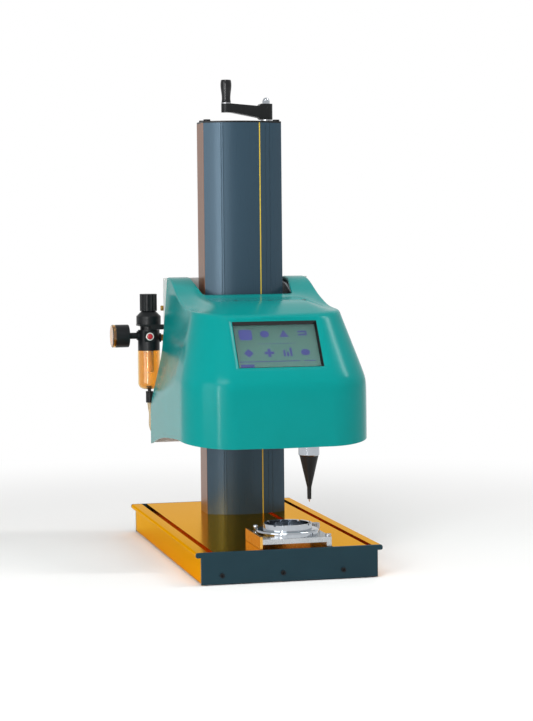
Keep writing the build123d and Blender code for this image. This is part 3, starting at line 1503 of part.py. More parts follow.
with BuildPart() as data_port:
    with BuildSketch(Plane.XZ.offset(-rear_face_y)):
        with Locations((data_port_x, data_port_z)):
            Rectangle(data_port_width + inlet_flange, data_port_height)
    extrude(amount=-board_thickness)
    with BuildSketch(Plane.XZ.offset(-rear_face_y)):
        with Locations((data_port_x, data_port_z)):
            Rectangle(data_port_width - inlet_flange, data_port_height - inlet_well_wall)
    extrude(amount=-data_port_depth)
    with BuildSketch(Plane.XZ.offset(-rear_face_y)):
        with Locations((data_port_x, data_port_z)):
            Rectangle(data_port_width - inlet_flange, data_port_height - inlet_well_wall)
    extrude(amount=inlet_depth / 2)
data_port.part.label = "data_port"
export_step(data_port.part, "parts/data_port.step")

# Work fixture clamped in a T-slot: a bridge with a cheek and a leg
fixture_back_y = fixture_front_y + fixture_depth
fixture_mid_y = (fixture_front_y + fixture_back_y) / 2
fixture_bottom = base_top + part_gap
plate_underside = fixture_plate_top - fixture_plate_thickness
clamp_places = (
    (clamp_slot_x, fixture_front_y + clamp_front_inset),
    (clamp_slot_x, fixture_back_y - clamp_back_inset),
)
with BuildPart() as fixture_bridge:
    with BuildSketch(Plane.XZ.offset(-fixture_back_y)):
        with BuildLine():
            Polyline(
                (fixture_left_x, fixture_bottom),
                (fixture_left_x, cheek_top),
                (fixture_left_x + cheek_thickness, cheek_top),
                (fixture_left_x + cheek_thickness, fixture_plate_top),
                (fixture_right_x, fixture_plate_top),
                (fixture_right_x, fixture_bottom),
                (fixture_right_x - leg_width, fixture_bottom),
                (fixture_right_x - leg_width, plate_underside),
                (fixture_left_x + cheek_thickness, plate_underside),
                (fixture_left_x + cheek_thickness, fixture_bottom),
                close=True,
            )
        make_face()
    extrude(amount=fixture_depth)
    with Locations(*[(x, y, fixture_bottom) for x, y in clamp_places]):
        Cylinder(
            clamp_screw_radius + seat_gap, fixture_plate_top - fixture_bottom,
            align=on_bottom, mode=Mode.SUBTRACT,
        )
fixture_bridge.part.label = "fixture_bridge"
export_step(fixture_bridge.part, "parts/fixture_bridge.step")

ring_top = fixture_plate_top + ring_height
turn_ring_bottom = ring_top - turn_ring_sink
with BuildPart() as fixture_ring:
    with Locations((fixture_x, fixture_mid_y, fixture_plate_top)):
        Cylinder(ring_radius, ring_height, align=on_bottom)
    fillet(fixture_ring.edges().filter_by(GeomType.CIRCLE).sort_by(Axis.Z)[-1], radius=ring_edge_round)
    with Locations((fixture_x, fixture_mid_y, fixture_plate_top)):
        Cylinder(turn_ring_bore, ring_height, align=on_bottom, mode=Mode.SUBTRACT)
    with Locations((fixture_x, fixture_mid_y, ring_top)):
        Cylinder(turn_ring_radius + run_gap, turn_ring_sink + part_gap, align=on_top, mode=Mode.SUBTRACT)
fixture_ring.part.label = "fixture_ring"
export_step(fixture_ring.part, "parts/fixture_ring.step")

with BuildPart() as turn_ring:
    with Locations((fixture_x, fixture_mid_y, turn_ring_bottom)):
        Cylinder(turn_ring_radius, turn_ring_height + turn_ring_sink, align=on_bottom)
        Cylinder(turn_ring_bore, turn_ring_height + turn_ring_sink, align=on_bottom, mode=Mode.SUBTRACT)
    with Locations((fixture_x, fixture_mid_y, turn_ring_bottom + turn_ring_height + turn_ring_sink)):
        with PolarLocations(turn_ring_radius, turn_ring_notch_count, start_angle=45):
            Box(
                ring_radius - turn_ring_bore, turn_ring_notch_width, turn_ring_notch_width,
                mode=Mode.SUBTRACT,
            )
turn_ring.part.label = "turn_ring"
export_step(turn_ring.part, "parts/turn_ring.step")

# Stop post with a ball end, which screws into the bridge
with BuildPart() as stop_post:
    with Locations((stop_post_x, stop_post_y, fixture_plate_top)):
        Cylinder(stop_post_radius, stop_post_height, align=on_bottom)
    with Locations((stop_post_x, stop_post_y, fixture_plate_top + stop_post_height)):
        Sphere(stop_ball_radius)
stop_post.part.label = "stop_post"
export_step(stop_post.part, "parts/stop_post.step")

# T-nuts in the slot, a screw at the front and a hand knob at the back
t_nut_top = base_top - slot_lip - part_gap
t_nut_bottom = t_nut_top - t_nut_height
with BuildPart() as clamp_hardware:
    with Locations(*[(x, y, t_nut_bottom) for x, y in clamp_places]):
        Box(slot_cavity_width - 2 * part_gap, t_nut_length, t_nut_height, align=on_bottom)
        Box(slot_mouth - 2 * part_gap, t_nut_length, fixture_bottom - t_nut_bottom, align=on_bottom)
    with Locations((*clamp_places[1], t_nut_bottom)):
        Cylinder(clamp_screw_radius + run_gap, fixture_bottom, align=on_bottom, mode=Mode.SUBTRACT)
    with Locations((*clamp_places[0], t_nut_bottom)):
        Cylinder(clamp_screw_radius, fixture_plate_top - t_nut_bottom, align=on_bottom)
    with Locations((*clamp_places[0], fixture_plate_top)):
        Cylinder(clamp_head_radius, clamp_head_height, align=on_bottom)
clamp_hardware.part.label = "clamp_hardware"
export_step(clamp_hardware.part, "parts/clamp_hardware.step")

knob_seat = fixture_plate_top + part_gap
with BuildPart() as clamp_knob:
    with Locations((*clamp_places[1], t_nut_bottom)):
        Cylinder(clamp_screw_radius, knob_seat - t_nut_bottom, align=on_bottom)
    with BuildSketch(Plane.XY.offset(knob_seat)):
        with Locations(clamp_places[1]):
            Circle(clamp_knob_radius - knob_rib_radius / 2)
            with PolarLocations(clamp_knob_radius - knob_rib_radius, knob_rib_count):
                Circle(knob_rib_radius)
    extrude(amount=clamp_knob_height)
clamp_knob.part.label = "clamp_knob"
export_step(clamp_knob.part, "parts/clamp_knob.step")
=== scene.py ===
import json
import math

import bmesh
import bpy
import numpy as np
from mathutils import Matrix, Vector


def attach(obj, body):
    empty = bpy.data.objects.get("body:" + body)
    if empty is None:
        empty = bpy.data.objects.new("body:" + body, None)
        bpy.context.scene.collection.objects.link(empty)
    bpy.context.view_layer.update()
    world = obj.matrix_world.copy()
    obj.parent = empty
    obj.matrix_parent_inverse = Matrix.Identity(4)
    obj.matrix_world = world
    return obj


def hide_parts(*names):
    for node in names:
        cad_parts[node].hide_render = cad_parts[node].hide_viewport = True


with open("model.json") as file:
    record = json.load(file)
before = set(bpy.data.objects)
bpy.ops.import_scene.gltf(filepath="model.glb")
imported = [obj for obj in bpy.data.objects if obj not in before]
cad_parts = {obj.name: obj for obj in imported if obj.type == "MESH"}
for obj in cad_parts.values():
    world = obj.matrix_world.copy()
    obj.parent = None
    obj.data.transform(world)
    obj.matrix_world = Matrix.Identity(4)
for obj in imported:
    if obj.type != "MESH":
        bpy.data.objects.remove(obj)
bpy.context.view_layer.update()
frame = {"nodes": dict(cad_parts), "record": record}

# Bench impact engraver. Shapes are worked out in millimetres and stored in metres.
# X runs across, Y to the back, Z up, and the origin lies on the table under the base's middle.

MM = 0.001
nodes = frame["nodes"]
record = frame["record"]
body_of = {n: body for body, members in record["behaviour"]["bodies"].items() for n in members}
slot_of = {entry["node"]: entry["material_slot"] for entry in record["subparts"]}
scene = bpy.context.scene


# Materials

def linear(hex_value):
    """An sRGB hex value as a linear colour with alpha."""
    channels = [int(hex_value[i:i + 2], 16) / 255 for i in (1, 3, 5)]
    return [c / 12.92 if c <= 0.04045 else ((c + 0.055) / 1.055) ** 2.4 for c in channels] + [1.0]


def add(tree, kind, inputs=None, **attributes):
    """One shader node with its attributes, and its inputs as values or as links."""
    node = tree.nodes.new(kind)
    for name, value in attributes.items():
        setattr(node, name, value)
    for name, value in (inputs or {}).items():
        if isinstance(value, bpy.types.NodeSocket):
            tree.links.new(value, node.inputs[name])
        else:
            node.inputs[name].default_value = value
    return node


def blank(name):
    """An empty material and its output node."""
    material = bpy.data.materials.new(name)
    material.use_nodes = True
    material.node_tree.nodes.clear()
    output = add(material.node_tree, "ShaderNodeOutputMaterial")
    return material, material.node_tree, output


def grain(tree, size_mm, detail=2.0, rough=0.5):
    """Noise whose features measure size_mm along X, Y and Z."""
    coords = add(tree, "ShaderNodeTexCoord")
    scale = [1 / (s * MM) for s in size_mm]
    place = add(tree, "ShaderNodeMapping", {
        "Vector": coords.outputs["Object"], "Scale": scale})
    return add(tree, "ShaderNodeTexNoise", {
        "Vector": place.outputs[0], "Scale": 1.0, "Detail": detail, "Roughness": rough})


def surface(name, colours, patch, rough, fine, height, metallic=0.0, left=None, **more):
    """A solid finish: two colours mixed in patches, roughness that varies with the fine
    grain, and a bump of that grain; sizes and the height are in millimetres. With left, an X
    and a pair of colours, the part left of that X has those colours: painted warm light on a side facing
    left."""
    material, tree, output = blank(name)
    patches = grain(tree, patch, 3.0)
    small = grain(tree, fine, 3.0, 0.6)
    colour = add(tree, "ShaderNodeMix", {
        0: patches.outputs[0], 6: linear(colours[0]), 7: linear(colours[1])}, data_type="RGBA")
    # Left of the X the colours are swapped for painted warm light on a side facing left
    if left:
        coords = add(tree, "ShaderNodeTexCoord")
        split = add(tree, "ShaderNodeSeparateXYZ", {0: coords.outputs["Object"]})
        beyond = add(tree, "ShaderNodeMath", {
            0: split.outputs[0], 1: left[0] * MM}, operation="LESS_THAN")
        painted_light_colours = add(tree, "ShaderNodeMix", {
            0: patches.outputs[0], 6: linear(left[1][0]), 7: linear(left[1][1])}, data_type="RGBA")
        colour = add(tree, "ShaderNodeMix", {
            0: beyond.outputs[0], 6: colour.outputs[2], 7: painted_light_colours.outputs[2]}, data_type="RGBA")
    spread = add(tree, "ShaderNodeMapRange", {
        "Value": small.outputs[0], "From Min": 0.25, "From Max": 0.75,
        "To Min": rough[0], "To Max": rough[1]})
    bump = add(tree, "ShaderNodeBump", {
        "Height": small.outputs[0], "Strength": 1.0, "Distance": height * MM})
    shader = add(tree, "ShaderNodeBsdfPrincipled", {
        "Base Color": colour.outputs[2], "Metallic": metallic,
        "Roughness": spread.outputs[0], "Normal": bump.outputs[0], **more})
    tree.links.new(shader.outputs[0], output.inputs[0])
    return material


def see_through(name, tint, rough, ior, streak):
    """Clear plastic or glass: it refracts, and lets light through to what lies behind it."""
    material, tree, output = blank(name)
    small = grain(tree, streak, 2.0)
    spread = add(tree, "ShaderNodeMapRange", {
        "Value": small.outputs[0], "To Min": rough[0], "To Max": rough[1]})
    colour = add(tree, "ShaderNodeMix", {
        0: small.outputs[0], 6: linear(tint[0]), 7: linear(tint[1])}, data_type="RGBA")
    shader = add(tree, "ShaderNodeBsdfPrincipled", {
        "Base Color": colour.outputs[2], "Roughness": spread.outputs[0], "IOR": ior,
        "Transmission Weight": 1.0})
    clear = add(tree, "ShaderNodeBsdfTransparent", {"Color": linear(tint[0])})
    path = add(tree, "ShaderNodeLightPath")
    mix = add(tree, "ShaderNodeMixShader", {
        0: path.outputs["Is Shadow Ray"], 1: shader.outputs[0], 2: clear.outputs[0]})
    tree.links.new(mix.outputs[0], output.inputs[0])
    return material


finishes = {
    # Anodised extrusion: drawn lines along Y, satin mirror; its gold base colour and specular tint are a
    # painted warm reflection of orange light
    "gold_anodised": surface(
        "anodised aluminium with painted warm reflection", ("#EFA945", "#E49C3A"), (60, 240, 60), (0.13, 0.22),
        (0.5, 60, 0.5), 0.002, 1.0, **{"Specular Tint": linear("#FFDD73")}),
    # Powder coat over steel: fine orange peel, satin
    "slate_paint": surface(
        "slate powder coat", ("#0C2A34", "#10313B"), (40, 40, 40), (0.36, 0.48),
        (1.1, 1.1, 1.1), 0.012, **{"Specular IOR Level": 0.25}),
    # Black oxide on steel: dark, half dull, a little uneven
    "black_screws": surface(
        "black oxide steel", ("#151517", "#222224"), (4, 4, 4), (0.32, 0.5),
        (0.4, 0.4, 0.4), 0.004, 0.5, **{"Specular IOR Level": 0.3}),
    # Rubber: black and dull, with no mirror at all
    "foot_rubber": surface(
        "moulded rubber", ("#141414", "#1D1D1D"), (5, 5, 5), (0.7, 0.85), (0.6, 0.6, 0.6), 0.02),
    # Dark anodised column: soft sheen with drawn lines along Z; its left face is painted bronze, a
    # painted warm light on the side facing left
    "slate_anodised": surface(
        "dark anodised aluminium with painted warm left face", ("#2E4656", "#293F4D"), (90, 90, 400), (0.26, 0.36),
        (0.5, 0.5, 80), 0.002, 0.35, (-42.6, ("#7E4D2B", "#734627")), **{"Specular IOR Level": 0.4}),
    # Thin plastic inlay: plain colour, satin
    "yellow_plastic": surface(
        "yellow inlay plastic", ("#CDB23C", "#C2A634"), (10, 10, 30), (0.35, 0.45),
        (0.8, 0.8, 0.8), 0.004),
    # Moulded dark plastic with a spark-eroded grain
    "dark_plastic": surface(
        "moulded black plastic", ("#0F1113", "#15181A"), (12, 12, 12), (0.26, 0.4),
        (0.5, 0.5, 0.5), 0.006, **{"Specular IOR Level": 0.22}),
    # Turned brass: warm, with fine turning rings
    "brass": surface(
        "turned brass", ("#C89E4C", "#B88C3C"), (6, 6, 6), (0.2, 0.34), (0.3, 4, 4), 0.003, 1.0),
    # Ground steel rods and rails: bright, with short lines along the length
    "ground_steel": surface(
        "ground steel", ("#B9BABC", "#A6A8AB"), (12, 12, 12), (0.2, 0.34), (0.4, 0.4, 5), 0.003, 1.0),
    # Cast iron under semi-gloss black enamel
    "black_casting": surface(
        "black enamelled casting", ("#0E1011", "#151819"), (8, 8, 8), (0.3, 0.42),
        (2.2, 2.2, 2.2), 0.05, **{"Specular IOR Level": 0.22}),
    # Polished plastic: near black with a clear mirror
    "black_gloss": surface(
        "polished black plastic", ("#0A0B0C", "#111214"), (8, 8, 8), (0.1, 0.2),
        (3, 3, 3), 0.006, **{"Specular IOR Level": 0.35}),
    # Chrome: a clear mirror, hardly textured
    "chrome": surface(
        "polished chrome", ("#B9BEC4", "#A8AEB5"), (10, 10, 10), (0.05, 0.12),
        (0.6, 0.6, 6), 0.0015, 1.0),
    # Glossy moulded ABS: slight orange peel, faint flow marks
    "teal_shell": surface(
        "moulded teal ABS", ("#008B89", "#00837F"), (70, 70, 70), (0.17, 0.23),
        (1.6, 1.6, 1.6), 0.0015, **{"Specular IOR Level": 0.12}),
    # Grey-green screen layer with a faint light of its own
    "lcd": surface(
        "liquid crystal screen", ("#41716C", "#3B6863"), (60, 60, 60), (0.3, 0.36),
        (0.5, 0.5, 0.5), 0.001, **{"Emission Color": linear("#41716C"), "Emission Strength": 0.2}),
    # Solder mask: deep green, glossy over a slight weave
    "board_green": surface(
        "green solder mask", ("#0C4D2B", "#126238"), (9, 9, 9), (0.3, 0.45), (1, 1, 1), 0.01),
    # Powder coat: pale and satin, with a fine orange peel
    "grey_paint": surface(
        "pale grey powder coat", ("#C9C8C6", "#D2D1CE"), (40, 40, 40), (0.38, 0.5),
        (1.1, 1.1, 1.1), 0.012),
    # Milled aluminium: cutter lines across Y, satin
    "milled_aluminium": surface(
        "milled aluminium", ("#B9BCC0", "#A9ADB2"), (20, 20, 20), (0.24, 0.38),
        (5, 0.4, 5), 0.004, 1.0),
    # Satin paint: black, slightly grained
    "black_paint": surface(
        "satin black paint", ("#0F1011", "#151617"), (10, 10, 10), (0.34, 0.46),
        (0.8, 0.8, 0.8), 0.006, **{"Specular IOR Level": 0.25}),
    # Zinc plating: pale grey with a soft mottle
    "zinc_steel": surface(
        "zinc plated steel", ("#A9ADB3", "#9A9EA6"), (6, 6, 6), (0.26, 0.4), (2, 2, 2), 0.006, 1.0),
    # Moulded plastic: pale and satin
    "pale_plastic": surface(
        "pale moulded plastic", ("#E4E3DE", "#D9D8D3"), (6, 6, 6), (0.3, 0.4), (0.6, 0.6, 0.6), 0.004),
    # Moulded plastic: red and satin
    "red_plastic": surface(
        "red moulded plastic", ("#B5202A", "#A01A24"), (4, 4, 4), (0.24, 0.34), (0.6, 0.6, 0.6), 0.004),
    # Sintered grains: pale, rough and dull
    "filter_felt": surface(
        "sintered filter element", ("#E6E3DA", "#CFCBC0"), (1.2, 1.2, 1.2), (0.7, 0.9),
        (0.4, 0.4, 0.4), 0.08),
    # Clear cover glass: almost no tint and an even mirror
    "glass": see_through(
        "clear cover glass", ("#F4F8F7", "#EEF4F3"), (0.01, 0.04), 1.46, (30, 30, 30)),
    # Clear polycarbonate with slight moulding haze; its amber tint is painted warm light, standing in for
    # orange light seen through the bowl
    "amber_bowl": see_through(
        "clear polycarbonate with painted warm tint", ("#F0C573", "#E8B75E"), (0.02, 0.08), 1.58, (9, 9, 9)),
    # Soft tube: cloudy, half clear
    "clear_tube": surface(
        "translucent tube", ("#D8C6A4", "#CDBA96"), (5, 5, 12), (0.3, 0.42), (1, 1, 6), 0.006, 0.0,
        **{"Transmission Weight": 0.35, "IOR": 1.42}),
}
# The fixture's plate is bare milled metal; the gold colour of its left cheek is painted warm light on the
# side facing left
fixture_finish = surface(
    "milled aluminium with painted warm light on its left cheek", ("#C3C6C9", "#B4B8BC"), (20, 20, 20), (0.2, 0.32),
    (5, 0.4, 5), 0.003, 1.0, (-41.8, ("#E9B25A", "#DDA54E")))
# Dark screen segments: blue, satin
segment_finish = surface(
    "dark blue screen segments", ("#0C1662", "#101C70"), (8, 8, 8), (0.3, 0.4), (0.5, 0.5, 0.5), 0.001)


# Mesh pieces

merge_distance = 0.002
flat_angle = math.radians(0.6)
smooth_angle = math.radians(32)
bevel_angle = math.radians(28)
bevel_segments = 2

def piece(name, verts, faces, body, slot, sharp=35, finish=None):
    """A mesh piece from points in millimetres, smooth except at edges over the sharp angle."""
    mesh = bpy.data.meshes.new(name)
    mesh.from_pydata((np.asarray(verts, float) * MM).tolist(), [], [list(map(int, f)) for f in faces])
    mesh.validate()
    mesh.update()
    mesh.shade_smooth()
    mesh.set_sharp_from_angle(angle=math.radians(sharp))
    thing = bpy.data.objects.new(name, mesh)
    scene.collection.objects.link(thing)
    mesh.materials.append(finish or finishes[slot])
    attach(thing, body)
    return thing


def dressed(node, bevel, finish=None):
    """A merged copy of a CAD node, whose sharp edges are broken by a bevel of that width in
    millimetres; it then stands for the node."""
    shape = bmesh.new()
    shape.from_mesh(nodes[node].data)
    bmesh.ops.remove_doubles(shape, verts=shape.verts, dist=merge_distance * MM)
    bmesh.ops.dissolve_limit(
        shape, angle_limit=flat_angle, verts=shape.verts, edges=shape.edges,
        delimit={"NORMAL"})
    mesh = bpy.data.meshes.new(node + "_finished")
    shape.to_mesh(mesh)
    shape.free()
    for layer in ("custom_normal", "sharp_face", "sharp_edge"):
        if layer in mesh.attributes:
            mesh.attributes.remove(mesh.attributes[layer])
    mesh.shade_smooth()
    mesh.set_sharp_from_angle(angle=smooth_angle)
    mesh.materials.clear()
    mesh.materials.append(finish or finishes[slot_of[node]])
    thing = bpy.data.objects.new(node + "_finished", mesh)
    scene.collection.objects.link(thing)
    if bevel:
        edge = thing.modifiers.new("edges", "BEVEL")
        edge.width = bevel * MM
        edge.segments = bevel_segments
        edge.limit_method = "ANGLE"
        edge.angle_limit = bevel_angle
        edge.harden_normals = True
    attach(thing, body_of[node])
    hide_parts(node)
    return thing


def grid_faces(rows, columns, start=0, closed=False):
    """Four-sided faces of a grid of points stored row by row."""
    r, c = np.meshgrid(np.arange(rows - 1), np.arange(columns if closed else columns - 1), indexing="ij")
    r, c = r.ravel(), c.ravel()
    nxt = (c + 1) % columns
    return np.stack([r * columns + c, r * columns + nxt, (r + 1) * columns + nxt,
                     (r + 1) * columns + c], 1) + start


def thicken(verts, faces, depth):
    """A closed wall from an open sheet: the sheet, a copy set back along its normals, and
    a band along every open edge."""
    corners = verts[faces]
    normal = np.cross(corners[:, 2] - corners[:, 0], corners[:, 3] - corners[:, 1])
    total = np.zeros_like(verts)
    for i in range(4):
        np.add.at(total, faces[:, i], normal)
    total /= np.maximum(np.linalg.norm(total, axis=1, keepdims=True), 1e-9)
    inner = verts - total * depth
    count = len(verts)
    edges = np.concatenate([faces[:, [i, (i + 1) % 4]] for i in range(4)])
    codes = np.sort(edges, 1) @ np.array([count, 1])
    _, first, uses = np.unique(codes, return_index=True, return_counts=True)
    rim = edges[first[uses == 1]]
    band = np.stack([rim[:, 1], rim[:, 0], rim[:, 0] + count, rim[:, 1] + count], 1)
    back = faces[:, ::-1] + count
    return np.concatenate([verts, inner]), np.concatenate([faces, back, band])


def smooth_step(value, low, high):
    """0 below low, 1 above high, and a soft rise between."""
    share = np.clip((value - low) / (high - low), 0, 1)
    return share * share * (3 - 2 * share)


def spline(points):
    """A natural cubic through points in rising order, as a function of arrays."""
    xs, ys = np.array(points, float).T
    step = np.diff(xs)
    slope = np.diff(ys) / step
    size = len(xs)
    matrix, right = np.eye(size), np.zeros(size)
    for i in range(1, size - 1):
        matrix[i, i - 1:i + 2] = step[i - 1], 2 * (step[i - 1] + step[i]), step[i]
        right[i] = 6 * (slope[i] - slope[i - 1])
    bend = np.linalg.solve(matrix, right)

    def at(x):
        k = np.clip(np.searchsorted(xs, x) - 1, 0, size - 2)
        a, b, h = xs[k + 1] - x, x - xs[k], step[k]
        return (bend[k] * a ** 3 + bend[k + 1] * b ** 3) / (6 * h) \
            + (ys[k] / h - bend[k] * h / 6) * a + (ys[k + 1] / h - bend[k + 1] * h / 6) * b
    return at


# Head cover

# Outline of the cover: its front leans back above a crease, and its sides lean in above theirs
middle_x = 26.0
front_y = -167.0
back_y = 187.0
crease_z = 296.0
crease_softness = 9.0
lean = math.radians(35)
corner_radius = 80.0
corner_taper_share = 0.23
front_bow = 2.5
half_width = 155.0
side_crease_from_y = -40.0
side_crease_fall = 56.0
side_lean_share = 0.274
side_lean_fall_share = 0.024
shoulder_z = 404.0
shoulder_fall = 77.0
shoulder_softness = 7.0
shoulder_lean_share = 0.08

# Heights along Y: the crowned middle of the top, its outer edges, and the open lower edge
top_middle = spline([(-167, 378), (-83.5, 404), (0, 422.6), (96, 433), (157, 457), (200, 460)])
top_edge = spline([(-167, 378), (-83.5, 404), (-60, 406.5), (-30, 408.5), (0, 410.5), (30, 414.5),
                   (60, 422), (96, 433.5), (157, 457), (200, 460)])
arch = spline([(-167, 192), (-83.5, 200), (0, 197), (96, 188), (188, 170)])
crown_from, crown_to = 72.0, 118.0

# Window for the screen and the flared pocket round it
window_half, window_rise, window_z = 70.5, 44.0, 359.0
window_margin = 0.2
window_fade = 1.0
flare_x, flare_z, pocket_rim, pocket_depth = 15.0, 8.0, 1.0, 4.5
pocket_over = 1.0
pocket_softness = 0.5
pocket_ramp_share = 1.6
screen_out = np.array([0, -math.cos(lean), math.sin(lean)])
screen_up = np.array([0, math.sin(lean), math.cos(lean)])
screen_at = np.array([middle_x, front_y + math.tan(lean) * (window_z - crease_z), window_z])

# Passage of the column through the top
passage_half = 79.0
passage_back_half = 85.0
passage_corner_y = 101.0
passage_wide_y = 150.0
passage_corner = 9.0
passage_spread = 1.2
lip_round = 2.2
lip_drop = 2.5

# Rounding of the top's rim, smaller towards the back
rim_round = 15.0
rim_round_fall = 8.0
rim_from_y = -90.0
rim_fall_share = 0.8
rim_width_share = 0.42
rim_ease_share = 0.2
side_drop_share = 0.96
wall_thickness = 3.0

# Rows up the wall at the front, closer together at the window's edges
low_level, mid_level, high_level = 192.0, 300.0, 384.0
rim_level = 388.5
high_spread = 1.3
wall_levels = np.concatenate([
    np.linspace(low_level, 276, 15), np.linspace(280, 312, 14),
    [315, 317.5, 319.5, 321, 322, 322.96, 324], np.linspace(328, high_level, 15)])
row_reach = 3.0
rim_row_count = 23
rim_sample_count = 15
top_row_count = 15
top_row_spread = 0.9
lip_row_count = 6
settle_steps = 40
low_start, high_start = 195.0, 410.0
follow_share = 0.6

# Columns from the middle of the front, round a corner and along a side; each is an X on the
# front, or a share of the corner or of the side
front_half = 88.0
front_x = np.array([0, 8, 16, 24, 32, 40, 48, 56, 62, 66, 69, 70.5, 71.2, 72, 74, 76.5, 79, 81.5, 83.5,
                    85, 86.2, 87.2])
corner_shares = np.linspace(0, 1, 19)
side_shares = np.concatenate([np.linspace(0, 0.5, 14)[1:], np.linspace(0.5, 1, 22)[1:]])
FRONT, CORNER, SIDE = 0, 1, 2
half_kind = np.concatenate([
    np.full(len(front_x), FRONT), np.full(len(corner_shares), CORNER), np.full(len(side_shares), SIDE)])
half_value = np.concatenate([front_x, corner_shares, side_shares])
column_kind = np.concatenate([half_kind[:0:-1], half_kind])[:, None]
column_value = np.concatenate([half_value[:0:-1], half_value])[:, None]
column_side = np.concatenate([-np.ones(len(half_kind) - 1), np.ones(len(half_kind))])[:, None]


def soft_rise(level, corner, softness):
    """Height above a corner level, with the corner rounded off."""
    above = level - corner
    return (above + np.hypot(above, softness)) / 2


def side_half(level, y):
    """Half width of the cover: straight up to a crease, leaning in above it, and nearly
    upright again towards the ears; the crease falls towards the back."""
    back = np.clip((y - side_crease_from_y) / (back_y - side_crease_from_y), 0, 1)
    share = side_lean_share - side_lean_fall_share * back
    half = half_width - share * soft_rise(level, crease_z - side_crease_fall * back, crease_softness)
    upright = soft_rise(level, shoulder_z - shoulder_fall * back, shoulder_softness * (1 + back))
    return half + (share - shoulder_lean_share) * upright


def top_level(x, y):
    """Height of the cover's top: crowned in the middle, lower along its edges."""
    crown = 1 - smooth_step(np.abs(x - middle_x), crown_from, crown_to)
    edge = top_edge(y)
    return edge + (top_middle(y) - edge) * crown


def wall_point(level):
    """The outer wall at a level for each column: along the bowed front, round the corner as
    an arc, or along the side to the back."""
    rise = soft_rise(level, crease_z, crease_softness)
    front = front_y + math.tan(lean) * rise
    corner = corner_radius - corner_taper_share * rise
    corner_y = front + front_bow + corner
    straight = side_half(level, corner_y) - corner
    past = np.maximum(column_value * (column_kind == FRONT) - straight, 0)
    bow = np.minimum(column_value / straight, 1)
    flat_y = front + front_bow * bow ** 2 * (3 - 2 * bow) + corner - np.sqrt(corner ** 2 - past ** 2)
    first = np.arcsin((front_half - straight) / corner)
    turn = first + (math.pi / 2 - first) * column_value
    arc_x = straight + corner * np.sin(turn)
    arc_y = front + front_bow + corner * (1 - np.cos(turn))
    side_y = corner_y + (back_y - corner_y) * column_value
    kinds = [column_kind == FRONT, column_kind == CORNER]
    off = np.select(kinds, [column_value, arc_x], side_half(level, side_y))
    y = np.select(kinds, [flat_y, arc_y], side_y)
    return np.stack([middle_x + column_side * off, y, level + 0 * off], -1)


def settle(height, level):
    """The level at which each column meets a height that depends on where it stands."""
    for _ in range(settle_steps):
        point = wall_point(level)
        level = (level + height(point[..., 0], point[..., 1])) / 2
    return level


def passage_points():
    """Plan points of the passage's edge for each column: straight behind the front, round
    its corners as arcs, and widening along the sides to the back."""
    kind, value = column_kind[:, 0], column_value[:, 0]
    flat = passage_half - passage_corner
    turn = np.clip(value, 0, 1) * math.pi / 2
    side_y = passage_corner_y + (back_y - passage_corner_y) * value ** passage_spread
    side_x = np.interp(side_y, [passage_corner_y, passage_wide_y, back_y],
                       [passage_half, passage_back_half, passage_back_half])
    x = np.select([kind == FRONT, kind == CORNER],
                  [value * flat / front_half, flat + passage_corner * np.sin(turn)], side_x)
    y = np.select([kind == FRONT, kind == CORNER],
                  [np.full(len(kind), passage_corner_y - passage_corner),
                   passage_corner_y - passage_corner * np.cos(turn)], side_y)
    return np.stack([middle_x + column_side[:, 0] * x, y], -1)


def window_edges_aligned(sheet):
    """The sheet with the rows nearest the window's two level edges moved onto them, and the
    rows beside those moved less, by a bell curve over the rows."""
    middle = sheet.shape[0] // 2
    aside = np.abs(sheet[..., 0] - middle_x)
    front = 1 - smooth_step(aside, window_half + window_fade, front_half - window_fade)
    for target in (window_rise, -window_rise):
        up = (sheet - screen_at) @ screen_up
        row = np.argmin(np.abs(up[middle] - target))
        near = np.exp(-((np.arange(sheet.shape[1]) - row) / row_reach) ** 2)
        move = (target - up[:, row:row + 1]) * near * front
        sheet = sheet + move[..., None] * screen_up
    return sheet


def pocket_pressed(sheet):
    """The sheet pushed in round the window to a flat floor with ramps, as the softened
    lesser of the skin and the floor."""
    up = (sheet - screen_at) @ screen_up
    out = (sheet - screen_at) @ screen_out
    aside = (np.abs(sheet[..., 0] - middle_x) - window_half - pocket_rim) / (flare_x - pocket_rim)
    beyond = (np.abs(up) - window_rise - pocket_rim) / (flare_z - pocket_rim)
    ramp = np.maximum(aside, beyond)
    floor = -pocket_depth + np.maximum(ramp, 0) * (pocket_depth + pocket_over)
    chosen = (out + floor - np.sqrt((out - floor) ** 2 + pocket_softness ** 2)) / 2
    moved = np.where((ramp < pocket_ramp_share) & (sheet[..., 1] < 0), chosen - out, 0)
    return sheet + moved[..., None] * screen_out


